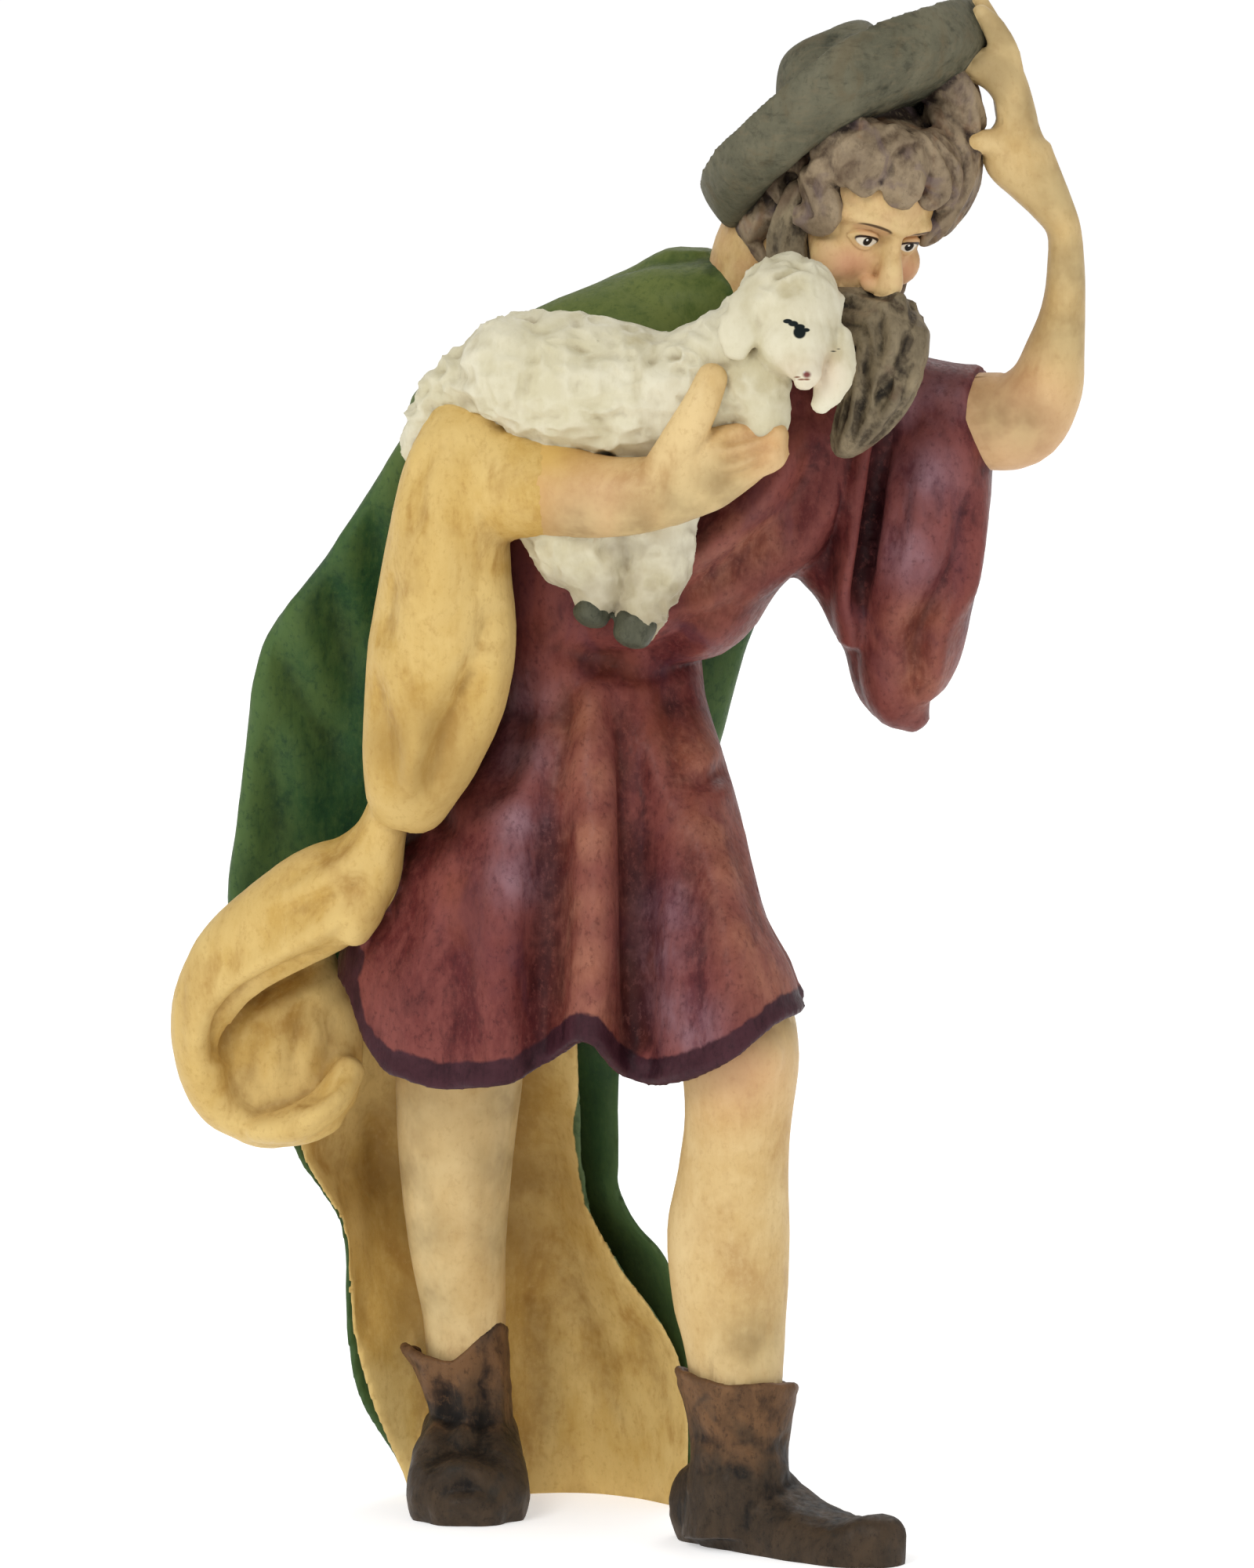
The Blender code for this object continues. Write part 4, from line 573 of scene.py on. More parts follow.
# lamb
def lamb():
    clay = Clay()
    loft(clay, [
        (-19, -22, 145.6, 4.5, 6), (-14.5, -24, 146.6, 7.6, 8), (-8, -26, 145.6, 8.8, 8.5), (0, -27, 144.2, 8.6, 8.2),
        (7, -28, 143.6, 7.8, 7.6), (12, -29, 145, 6.8, 7),
    ], steps=5)
    ball(clay, (-14.6, -28, 147), (6.4, 6, 6.8))
    loft(clay, [(-17, -22, 149.5, 2.4, 3), (-22, -22, 146.6, 2.6, 3.2), (-25.2, -21, 142, 2.4, 3.2),
            (-26.6, -20, 137.6, 2, 2.8), (-26.8, -19, 135.4, 1.4, 2.2)], sides=16)
    loft(clay, [(8, -28, 146, 6.5, 6.5), (13, -29, 149.6, 5.5, 6), (17.5, -30, 153, 5.2, 5.4)])
    loft(clay, [(13, -30, 150, 4.4, 5), (16, -32, 146, 4.6, 5), (16.8, -32, 140, 3.6, 4.2),
            (16.4, -31, 136, 2.6, 3.5)])
    loft(clay, [(-8.6, -23, 133, 7, 6), (-5.5, -25, 125, 6.5, 6), (-3.8, -26, 120.5, 4.4, 4.6),
            (-4, -26, 117.4, 2.6, 3.2)])
    loft(clay, [(3, -25, 132, 6.5, 6), (4, -26, 124, 4.6, 5.2), (2.8, -27, 119, 3.4, 4.2),
            (1.4, -27.5, 115.6, 2.8, 3.4)])
    ball(clay, lamb_point(0, -1, 0.6), (6.7, 6.9, 6), LAMB_AXES, flat=True)
    ball(clay, lamb_point(0, 3.2, -1.6), (5.4, 4.8, 4.8), LAMB_AXES, flat=True)
    loft(clay, [(*lamb_point(0, 2, -1), 5, 4.8), (*lamb_point(0, 5.2, -2), 3.9, 3.8), (*lamb_point(0, 7.2, -2.6),
            2.7, 2.8), (*lamb_point(0, 8.6, -3), 1.9, 2)],
         flat=True, across=LAMB_AXES[0], sides=20)
    # ears
    loft(clay, [(16.2, -34, 157.4, 1.7, 1.6), (15, -36, 154.4, 2.6, 1.4), (14, -37, 151.3, 2.6, 1.3),
            (13.6, -37, 149, 1.6, 1)], sides=16)
    loft(clay, [(26.8, -34, 151, 1.5, 1.6), (26.6, -35.6, 147.8, 2.2, 1.4), (25.4, -36.4, 144.6, 2.2, 1.3),
            (24.2, -36.6, 142.4, 1.3, 1)], sides=16)
    return clay


LAMB_HEAD = seen([(20.7, -33, 154)])[0]
LAMB_AXES = turned(30, 26, 12)


def lamb_point(right, forward, up):
    return LAMB_HEAD + np.array([right, -forward, up]) @ LAMB_AXES


def hooves():
    clay = Clay()
    loft(clay, [(-3.9, -26.5, 118, 2.3, 2.9), (-4.6, -27, 116.2, 2.4, 2.9)], ends=(0.6, 0.6), sides=20)
    loft(clay, [(1.2, -28, 115.4, 2.8, 3.3), (0.6, -28.3, 113.6, 2.5, 3.1)], ends=(0.6, 0.6), sides=20)
    return clay


# head
HEAD = seen([(28.4, -13, 168.2)])[0]
HEAD_AXES = turned(38, 22, 12)


def head_point(right, forward, up):
    """A point in the head's own directions, from its centre."""
    return HEAD + np.array([right, -forward, up]) @ HEAD_AXES


def head_rows(rows):
    """Rows for a loft from (right, forward, up, half width, half depth) in the head's own directions."""
    return [(*head_point(*row[:3]), *row[3:]) for row in rows]


def head_loft(clay, rows, across, **more):
    return loft(clay, head_rows(rows), flat=True, across=across, **more)


def head_ball(clay, right, forward, up, radii, **more):
    ball(clay, head_point(right, forward, up), radii, HEAD_AXES, flat=True, **more)


def face():
    clay = Clay()
    head_ball(clay, 0, -1.5, 3, (9, 11.2, 10.4))
    # cheeks and jaw
    head_loft(clay, [(0, 2.6, 3, 8.4, 8), (0, 3.2, -2, 8, 7.6), (0, 3.8, -7, 6.6, 6.6), (0, 4.8, -11, 4.6, 5.2)],
            HEAD_AXES[0])
    for side in (-1, 1):
        head_ball(clay, side * 4.8, 6.6, -3.6, (3.4, 3.2, 3.2))
    # brow
    head_loft(clay, [(-6.4, 6.6, 2.6, 1.3, 1.6), (-3.4, 8.9, 3.2, 1.4, 1.6), (0, 9.4, 2.9, 1.3, 1.6),
            (3.4, 8.9, 3.2, 1.4, 1.6),
                (6.4, 6.6, 2.6, 1.3, 1.6)], HEAD_AXES[2], sides=16)
    # nose
    head_loft(clay, [(0, 9.4, 2, 1.2, 1.2), (0, 11.2, -0.8, 1.3, 1.5), (0, 12.8, -3.6, 1.7, 1.8),
            (0, 12.4, -5, 1.5, 1.4)], HEAD_AXES[0], sides=16)
    for side in (-1, 1):
        head_ball(clay, side * 1.6, 11.2, -4.7, (1.1, 1.4, 1.1), sides=12)
    # lips and chin
    head_loft(clay, [(-2.9, 9.6, -8.4, 0.45, 0.5), (-1.2, 10.7, -8, 0.75, 0.8), (0, 11, -8.2, 0.7, 0.8),
            (1.2, 10.7, -8, 0.75, 0.8),
                (2.9, 9.6, -8.4, 0.45, 0.5)], HEAD_AXES[2], sides=14)
    head_loft(clay, [(-2.4, 9.6, -9, 0.5, 0.5), (0, 10.5, -9.5, 0.95, 0.9), (2.4, 9.6, -9, 0.5, 0.5)], HEAD_AXES[2],
            sides=14)
    head_ball(clay, 0, 6.8, -11, (4, 3.8, 3.4))
    # neck
    loft(clay, [(25, -10, 168, 8, 8), (19.5, -7, 163.4, 8, 8), (17, -5, 158.5, 7, 8), (17, -4, 152, 7, 8)],
            ends=(0.5, 0.5))
    return under_hat(clay)


# full locks between the face and the raised hand
SIDE_LOCKS = [
    [(37, -12, 184.6, 2.6, 3), (40.2, -12.5, 183.6, 2.9, 3.2), (42.4, -13, 181.2, 2.3, 3),
            (43.6, -13, 178.6, 1.4, 2)],
    [(40.2, -12, 179.4, 2.6, 3.4), (41.6, -12.5, 176.4, 2.9, 3.4), (42, -13, 172.8, 2.7, 3.2),
            (40.6, -14, 169.2, 2.5, 3), (38.8, -15, 166, 1.9, 2.4), (37.8, -15.5, 164.2, 1, 1.6)],
    [(42.6, -10, 178.6, 2, 2.6), (43, -10.5, 175, 1.9, 2.6), (42.6, -11, 171.4, 1.9, 2.4),
            (40.8, -12, 167.6, 1.7, 2.2), (39.4, -12.5, 165.4, 1, 1.4)],
]


# hat
HAT_REACH = 21.2
HAT_CROWN = 13.7
HAT = seen([(28.9, -9, 177.7)])[0]
HAT_UP = unit(np.array([-0.462, 0.253, 0.850]))
HAT_RIGHT = unit(np.cross(np.array([0, 1, 0]), HAT_UP))
HAT_AXES = np.stack([HAT_RIGHT, np.cross(HAT_UP, HAT_RIGHT), HAT_UP])


def under_hat(clay):
    """Presses everything that reaches through the brim back under it."""
    for k, points in enumerate(clay.points):
        local = (points - HAT) @ HAT_AXES.T
        local[:, 2] = np.minimum(local[:, 2], -0.3)
        clay.points[k] = HAT + local @ HAT_AXES
    return clay


def hat_shape():
    clay = Clay()
    sides = 96
    t = np.linspace(0, 2 * np.pi, sides, endpoint=False)
    # across and up, as shares of the brim's reach and the crown's height
    over = smooth_rows([(0.02, 1), (0.21, 0.966), (0.305, 0.82), (0.39, 0.48), (0.455, 0.185), (0.59, 0.07),
            (0.77, 0.09), (0.87, 0.25), (0.906, 0.43), (0.925, 0.55)], 36)
    under = smooth_rows([(0.986, 0.575), (1, 0.37), (0.962, 0.096), (0.83, -0.055), (0.613, -0.096), (0.33, -0.096),
            (0.02, -0.096)], 24)
    rings = []
    for share, rise in np.vstack([over, under]):
        r, z = HAT_REACH * share, HAT_CROWN * rise
        crown = np.clip((12 - r) / 4, 0, 1)
        left = np.clip(-np.cos(t), 0, 1) ** 2 * np.clip((r - 12) / 8, 0, 1)
        x = r * np.cos(t) + 0.3 * left + crown * (1.9 * np.clip(z / HAT_CROWN, 0, 1) - 0.6)
        y = r * np.sin(t) * 0.95
        wave = 0.6 * np.sin(3 * t + 1) + 0.6 * np.exp(-(((t - 5.2) / 0.45) ** 2))
        wave -= 2.3 * np.exp(-(((t - 4.3) / 0.5) ** 2))
        z = z * (1 - 0.05 * crown)
        x = x + 1.4 * crown * np.clip(np.cos(t), 0, 1) * np.clip(z / HAT_CROWN, 0, 1)
        lift = -3.9 * left + wave * np.clip((r - 14) / 6, 0, 1) + crown * -0.05 * x * np.clip(z / 12, 0, 1)
        rings.append(HAT + np.stack([x, y, z + lift], 1) @ HAT_AXES)
    clay.add_rings(rings)
    return clay


# chisel strokes: path across and up as seen from the front, width, depth (a ridge when below 0)
STROKES = {
    "tunic": [
        ([(35, 142.5), (32.4, 138), (31.4, 131), (30.4, 124), (28.6, 115)], 0.9, 1.9),
        ([(-0.4, 103), (-0.6, 92), (-0.4, 80), (0.2, 70), (0.4, 63)], 0.7, 0.9),
        ([(-2.6, 100), (-2.6, 86), (-2.2, 70)], 1.3, -0.5),
        ([(1.2, 90), (1.8, 76), (1.4, 58)], 2.3, 1.3),
        ([(-9.5, 95), (-9.9, 83.7), (-11.4, 62)], 2.6, 1),
        ([(-4.2, 97), (-3.8, 82), (-4, 66)], 2.2, -0.9),
        ([(-15.5, 98), (-17, 84), (-18.5, 66)], 3, -0.8),
        ([(45.2, 133), (45.4, 127), (43.2, 120.5), (39.8, 115), (38.8, 109), (37.8, 104)], 1.3, -1),
        ([(42.6, 133), (42.6, 125.5), (40.6, 119.5), (37.2, 114), (36.6, 106)], 1.7, 1.3),
        ([(37.4, 141), (36.6, 132), (35, 122), (33.2, 112)], 2, -0.9),
        ([(-10, 112.4), (-4, 110.6), (3, 111), (9.5, 113.2)], 1.9, 1.6),
        ([(20, 143), (14, 134), (6, 127), (-2, 121)], 2.2, 1.1),
        ([(25, 139), (21, 130), (14, 123), (5, 117.6)], 2, 1.3),
        ([(22.6, 141), (18, 132.4), (10.4, 125.2), (1.4, 119.4)], 1.9, -1),
        ([(15.6, 118.4), (10, 115.6), (4, 113.8)], 1.4, 0.9),
        ([(27.4, 134), (22.6, 124), (17, 119)], 1.6, -0.7),
        ([(36, 138), (35, 130), (33.6, 122)], 1.1, 0.6),
        ([(-12.7, 106), (-14.4, 98), (-17.7, 92)], 1.7, 0.9),
        ([(-7.4, 109), (-8.2, 101), (-9.4, 93)], 1.5, 0.9),
        ([(-1.5, 109), (-0.4, 101), (0.8, 93)], 1.5, 0.9),
        ([(4.5, 110), (6.2, 101), (8, 92)], 1.7, 0.9),
        ([(14, 98), (11.4, 96.2), (8, 94.6)], 1.3, 1),
        ([(13.6, 94), (15.4, 84), (18, 74)], 2.2, 0.7),
        ([(6.4, 88), (8.4, 76), (8.2, 60)], 2.6, 0.7),
        ([(-24, 93), (-27, 82), (-30, 70)], 2.4, 0.8),
        ([(-20, 92), (-22.6, 78), (-24.6, 62)], 2.6, 0.6),
        ([(-27.4, 97), (-24.6, 93.4), (-22.4, 88)], 1.2, 0.8),
    ],
    "lining": [
        ([(-33.2, 110), (-31.6, 103), (-29.4, 93.4)], 1.9, 1.6),
        ([(-18, 110), (-22.4, 102), (-24.8, 93)], 1.9, 1.7),
        ([(-15.6, 118), (-18, 112), (-21, 106)], 1.6, 1.1),
        ([(-25.4, 104), (-27.2, 98), (-27.6, 93)], 1.5, -0.8),
        ([(-25.2, 138), (-26.4, 133), (-26.8, 126)], 1.5, 1),
        ([(-18.8, 130), (-18.4, 120), (-19.6, 112)], 2.4, 0.7),
        ([(-23.4, 128), (-24.6, 118), (-27, 108)], 2.4, -0.7),
        ([(-29.8, 122), (-31, 112)], 1.6, 0.8),
        ([(-30.8, 84.6), (-37.6, 80.4), (-46, 78.2)], 1.5, 0.9),
        ([(-34, 89), (-40.5, 84.6), (-47, 80.6)], 1.3, 0.6),
        ([(-32, 80), (-38.6, 76.6), (-44.6, 73.4), (-50, 69.6)], 1.4, -0.5),
        ([(-36.4, 73.6), (-42, 71), (-48.6, 67.4), (-51.6, 63.6), (-52.2, 59)], 1.5, 2),
        ([(-40, 68), (-42.4, 62), (-43, 56)], 1.3, 0.6),
        ([(-46.6, 66), (-48, 60), (-46.6, 55)], 1.5, 0.6),
        ([(-37.6, 66.4), (-38.4, 60.4), (-41, 56.4)], 1.2, 0.7),
        ([(-34.6, 59.4), (-37.8, 56.4), (-42, 54)], 1, 0.9),
        ([(-57, 72), (-57.6, 65), (-56.4, 58)], 1.2, 0.5),
        ([(-32.2, 55), (-32.4, 44), (-31.2, 28)], 1.7, 0.9),
        ([(-36.4, 47), (-34.8, 36), (-33, 22)], 1.4, 0.7),
        ([(-9.5, 54), (-8.5, 40), (-5, 24)], 2.4, 0.6),
        ([(-13, 30), (-11.5, 18), (-10.5, 8)], 2.2, 0.6),
        ([(-4, 32), (-0.5, 22), (2.5, 10)], 2, -0.5),
    ],
    "cloak": [
        ([(-47, 117), (-41, 105), (-34.8, 95)], 2.2, 1.2),
        ([(-38.4, 125), (-36.4, 112), (-35, 100)], 2.4, 1),
        ([(-33, 136), (-32, 124), (-31, 112)], 2, 0.8),
        ([(-45.6, 104), (-45.2, 92), (-44, 84)], 2.2, 0.8),
        ([(-14, 153.6), (-4, 150.4), (6, 148)], 2, 0.8),
        ([(-1, 158), (6, 155), (11, 151)], 1.8, 0.8),
        ([(-24, 145), (-27, 138)], 1.8, 0.8),
    ],
    "boots": [
        ([(-26.6, 20), (-24.6, 14), (-25.6, 10)], 1, -0.7),
        ([(-21, 20), (-20.4, 14), (-22.4, 10)], 1.1, -0.6),
        ([(-16.4, 22), (-16.8, 15), (-16, 9)], 1, -0.5),
        ([(8, 12.4), (12.4, 11), (17.6, 11.6)], 1, 0.5),
        ([(8.4, 6.8), (12, 8.4), (16.4, 7)], 1.1, 0.6),
        ([(19.4, 12.4), (22, 9.6), (26, 7.4)], 1.2, 0.6),
        ([(-26.4, 7.4), (-22, 9.4), (-16.6, 7.6)], 1.2, 0.8),
        ([(-25.4, 3.6), (-20.6, 5.2), (-15.6, 3.6)], 1.2, 0.6),
        ([(-24, 6.6), (-20.4, 7.4), (-17.6, 6.2)], 1.4, -0.7),
    ],
    "forearm": [
        ([(11.5, 137.6), (15.2, 138.4), (18.4, 139.6)], 0.6, 0.6),
        ([(12, 135.4), (15.8, 136.6), (18.8, 138)], 0.6, 0.6),
        ([(11, 133.2), (15, 134.4), (18.2, 136.4)], 0.6, 0.6),
    ],
    "hat": [
        ([(10.5, 166), (22, 176), (34, 183), (46, 187)], 1.3, 0.5),
        ([(24, 188.6), (30, 191.6)], 1.2, 0.7),
    ],
    "beard": [
        ([(38.4, 158), (39.2, 151), (36.6, 144), (32, 139.6)], 0.7, 0.6),
        ([(35.6, 159), (36.2, 153), (34, 147), (30.6, 141.6)], 0.7, 0.6),
        ([(33, 157), (33.4, 151), (31.4, 147), (28.6, 143)], 0.7, -0.3),
        ([(37, 157), (37.4, 151), (34.6, 146), (29.5, 140)], 0.9, 0.6),
        ([(34.4, 156), (34.8, 150), (32.2, 145.6), (28.2, 140)], 0.9, 0.6),
        ([(31.6, 155), (31.8, 149.5), (30, 145), (27.4, 140.4)], 0.9, 0.6),
    ],
}


def carve(name, obj):
    away = unit(around(obj, normals(obj), 4))
    for path, width, depth in STROKES.get(name, ()):
        stroke(obj, away, path, width, depth)


# the fine carving
def scatter(cell, seed):
    """A steady number from 0 to 1 for each whole-number cell."""
    n = (cell[:, 0] * 73856093) ^ (cell[:, 1] * 19349663) ^ (cell[:, 2] * 83492791) ^ (seed * 26544357)
    n = ((n ^ (n >> 13)) * 1274126177) & 0xFFFFFFFF
    return ((n ^ (n >> 16)) & 0xFFFFFF) / 0xFFFFFF


def lumps(points, size, seed=0):
    """Smooth lumps from -1 to 1, each about size across."""
    p = points / size + 1000.0
    cell = np.floor(p).astype(np.int64)
    f = p - cell
    f = f * f * (3 - 2 * f)
    total = np.zeros(len(p))
    for corner in np.ndindex(2, 2, 2):
        weight = np.prod(np.where(np.array(corner) == 1, f, 1 - f), axis=1)
        total += weight * scatter(cell + corner, seed)
    return total * 2 - 1


def swell(obj, height):
    put(obj, coords(obj) + normals(obj) * height[:, None])


def press(obj, centre, axes, radii, shift):
    """Moves the surface around a point by shift, less and less with distance."""
    co = coords(obj)
    away = (((co - centre) @ np.array(axes).T) / radii) ** 2
    put(obj, co + np.exp(-away.sum(1))[:, None] * shift)


def strand(clay, rings, start, drift, radius, wobble=0, phase=0, tip=0.6):
    """A thin lock that runs along the side of a loft, from ring to ring."""
    sides = rings.shape[1]
    rows = []
    for f in np.linspace(0, 1, 9):
        ring = rings[int(round(f * (len(rings) - 1)))]
        place = start + drift * f + wobble * math.sin(6.3 * f + phase)
        a = math.floor(place)
        t = place - a
        p = ring[a % sides] * (1 - t) + ring[(a + 1) % sides] * t
        r = radius * (1 + (tip - 1) * f)
        rows.append((*(p + (ring.mean(0) - p) * 0.04), r, r))
    loft(clay, rows, flat=True, sides=8, steps=2, ends=(0.8, 0.8))


def fine_face():
    face_skin = fuse(face(), "face", grain(0.28))
    back = HEAD_AXES[1]
    for side in (-1, 1):
        press(face_skin, head_point(side * 3.5, 9.9, 0.4), HEAD_AXES, (2.4, 4, 1.5), back * 1.9)
        press(face_skin, head_point(side * 1.9, 10, 1), HEAD_AXES, (0.8, 3, 1.4), back * 0.7)
        press(face_skin, head_point(side * 3.3, 9.6, -8.3), HEAD_AXES, (0.9, 3, 0.8), back * 0.5)
        press(face_skin, head_point(side * 3, 10.6, -5.2), HEAD_AXES, (0.7, 2, 1.3), back * 0.5)
        press(face_skin, head_point(side * 1.2, 12.2, -6.2), HEAD_AXES, (0.5, 0.9, 0.5), HEAD_AXES[2] * 0.6)
    eyes = Clay()
    for side in (-1, 1):
        head_ball(eyes, side * 3.5, 7.5, 0.3, (1.9, 1.9, 1.75))
        upper = [(1.7, 8.7, 0), (2.4, 9.2, 0.9), (3.4, 9.35, 1.35), (4.5, 8.9, 1.1), (5.5, 8, 0.1)]
        lower = [(1.7, 8.7, -0.1), (2.6, 9.15, -0.65), (3.6, 9.2, -0.9), (4.6, 8.75, -0.65), (5.5, 8, 0)]
        for line, size in ((upper, 0.42), (lower, 0.32)):
            head_loft(eyes, [(side * r, f, u, size, size) for r, f, u in line], HEAD_AXES[2], sides=10)
    return [face_skin, fuse(eyes, "eyes", grain(0.22))]


def fine_hair():
    clay = Clay()
    head_ball(clay, 0, -3.8, 4.6, (10.4, 10.2, 10))
    rng = np.random.default_rng(7)
    # locks laid over the skull from under the hat: angle 0 is the face's middle, positive to the head's left
    for level, (up, reach) in enumerate(((9.6, 8.2), (5.6, 10.2), (1.4, 10.8), (-2.8, 10.4), (-6.6, 9.2))):
        gap = 24 if level < 3 else 27
        for a in np.arange(-180 + 9 * level, 180 + 9 * level, gap):
            a = (a + 180) % 360 - 180
            if abs(a) < (0, 38, 62, 74, 84)[level]:
                continue
            a += rng.uniform(-4, 4)
            turn = rng.uniform(0.4, 1) * rng.choice([-1, 1])
            size = rng.uniform(0.85, 1.15)
            line = []
            for k in range(5):
                f = k / 4
                ang = math.radians(a + turn * 22 * math.sin(f * 3.6))
                out = reach + 1.2 * math.sin(f * 3.1) - 0.9 * f
                line.append((out * math.sin(ang), out * 1.04 * math.cos(ang) - 2.6, up + 2.6 - 5.6 * f * size,
                             (1.8, 2.1, 2, 1.6, 0.9)[k] * size, (1.3, 1.7, 1.6, 1.3, 0.7)[k] * size))
            way = math.radians(a)
            across = HEAD_AXES[0] * math.cos(way) + HEAD_AXES[1] * math.sin(way)
            rings = head_loft(clay, line, across, sides=12, steps=3)
            for start in (1, 3.2, 5.4, 8, 10.4):
                strand(clay, rings, start, turn * 2.2, 0.55 * size)
    head_ball(clay, 0, 3, 9.4, (8, 6, 4.4))
    for line in SIDE_LOCKS:
        rings = loft(clay, line, sides=16)
        for start in (0.5, 3, 5.6, 8.4, 11, 13.6):
            strand(clay, rings, start, 2.6, 0.95, wobble=1.1, phase=start)
    # the fringe: locks that curl on the forehead
    for a, side, size in ((-66, -1, 1), (-50, -1, 1.05), (-34, -1, 1.15), (-19, 1, 1.1), (-3, -1, 1.15), (11, 1, 1.1),
            (27, 1, 1.2), (43, 1, 1.1), (60, 1, 1)):
        line = []
        for turn, up, k in ((-4, 12.6, 0.9), (2, 11.4, 1.2), (9, 9.8, 1.3), (12, 8.1, 1.15), (7, 6.9, 0.95),
                (1, 7.4, 0.6)):
            ang = math.radians(a + side * turn)
            out = 10.1 - 0.22 * max(0, up - 8.2) ** 2
            line.append((out * math.sin(ang), out * math.cos(ang) - 0.8, up + rng.uniform(-0.3, 0.3),
                    1.5 * k * size, 1.25 * k * size))
        rings = head_loft(clay, line, None, sides=14, steps=3)
        for start in (0.6, 3.4, 6.2, 9, 11.8):
            strand(clay, rings, start, 1.6 * side, 0.52 * size)
    return [fuse(under_hat(clay), "hair", grain(0.32))]


def fine_beard():
    clay = Clay()
    for side in (-1, 1):
        jaw = head_loft(clay, [(side * 8.6, 0.4, 0.6, 1.7, 2.2), (side * 8.4, 1.6, -4.6, 2.4, 2.8),
                (side * 6.4, 4.4, -9.4, 3, 3.2),
                               (side * 3, 7, -12.6, 3.6, 3.6)], HEAD_AXES[1], sides=20)
        for k in range(9):
            strand(clay, jaw, 2.2 * k + 0.4, side * 1.5, 0.75, wobble=0.9, phase=1.7 * k, tip=0.8)
        tache = head_loft(clay, [(side * 0.5, 11.2, -6.5, 0.8, 1), (side * 2.6, 10.5, -7.1, 0.95, 1.3),
                (side * 4.8, 8.6, -9, 0.9, 1.3),
                                 (side * 5.8, 7.4, -11.4, 0.6, 0.9)], HEAD_AXES[2], sides=14)
        for k in range(5):
            strand(clay, tache, 2.8 * k, side * 1.2, 0.33, wobble=0.3, phase=2.0 * k, tip=0.7)
    rows = head_rows([(0, 6.8, -11.4, 4.9, 3.4), (0, 7.4, -13.8, 5.3, 4.6)])
    # the free end is placed in the front drawing
    for *place, wide, deep in ((33.2, -21.5, 151.8, 4.7, 4.8), (32.8, -22, 147.6, 4.4, 4.6),
            (31.2, -22, 143.6, 3.5, 4),
                               (28.9, -21, 140.2, 2.4, 3), (27.2, -20, 137.8, 1.1, 1.8)):
        rows.append((*seen([place])[0], wide, deep))
    main = loft(clay, rows, flat=True, across=HEAD_AXES[0], ends=(0.35, 1))
    for k in range(12):
        strand(clay, main, 2.33 * k, 1.6, 1.15 + 0.35 * math.sin(2.3 * k), wobble=1.5, phase=0.4 + 0.3 * k, tip=0.4)
    whiskers = fuse(clay, "beard", grain(0.32))
    carve("beard", whiskers)
    return [whiskers]


def fine_lamb():
    fleece = fuse(lamb(), "lamb", grain(0.36))
    co = coords(fleece)
    local = (co - LAMB_HEAD) @ LAMB_AXES.T
    # the face, the ears and the lowest parts of the legs are smooth
    face_part = np.clip((-local[:, 1] - 1.2) / 2.5, 0, 1)
    face_part *= np.clip((10.5 - np.linalg.norm(local, axis=1)) / 2, 0, 1)
    ears = 0
    for path, wide in (((15.2, -35, 156.8), (13.8, -38, 149)), 2.6), (((27, -34.6, 150.4), (24.4, -37.5, 142.6)),
            2.4):
        ears = ears + np.exp(-((to_path(co, seen(path))[0] / wide) ** 2))
    wool = np.clip(1 - face_part - 1.3 * ears, 0, 1)
    # short wavy ridges, like the cuts of a small gouge
    warped = co * (1, 1, 1.25) + 1.3 * np.stack([lumps(co, 3.6, seed) for seed in (11, 12, 13)], 1)
    ridge = 0.6 - 2 * np.abs(lumps(warped, 3, 5))
    small = 0.6 - 2 * np.abs(lumps(warped, 1.6, 9))
    amount = np.clip(0.75 + 0.5 * lumps(co, 7, 31), 0.3, 1.2)
    # calmer where the fingertips lie on the wool
    amount *= 1 - 0.9 * np.exp(-(((on_drawing(co) - (18, 140)) / 3.6) ** 2).sum(1))
    swell(fleece, wool * amount * (0.66 * ridge + 0.34 * small) + 0.05 * lumps(co, 2.2, 6))
    return [fleece]


def draped(form, name, size, rough, seed):
    """Cloth or limb with chisel strokes and the slight unevenness of the knife."""
    obj = fuse(form(), name, grain(size))
    carve(name, obj)
    co = coords(obj)
    if name == "boots":
        swell(obj, 0.16 * lumps(co, 1.3, 41) * np.clip(0.7 + lumps(co, 4, 42), 0, 1.4))
    swell(obj, rough * (0.6 * lumps(co * (1, 1, 0.5), 4.2, seed) + 0.4 * lumps(co * (1, 1, 0.6), 1.7, seed + 1)))
    return [obj]


# where the drawing lies in the row's frame
def placed(points):
    """Drawing units to metres in the row's frame."""
    return (np.array(points, float) - DRAWN_MIDDLE) * UNIT


MM_IN_METRE = 1000.0
# metres between the paint's valleys and its ridges
BRUSH_RELIEF = 0.00012
PORES_IN_METRE = 260.0


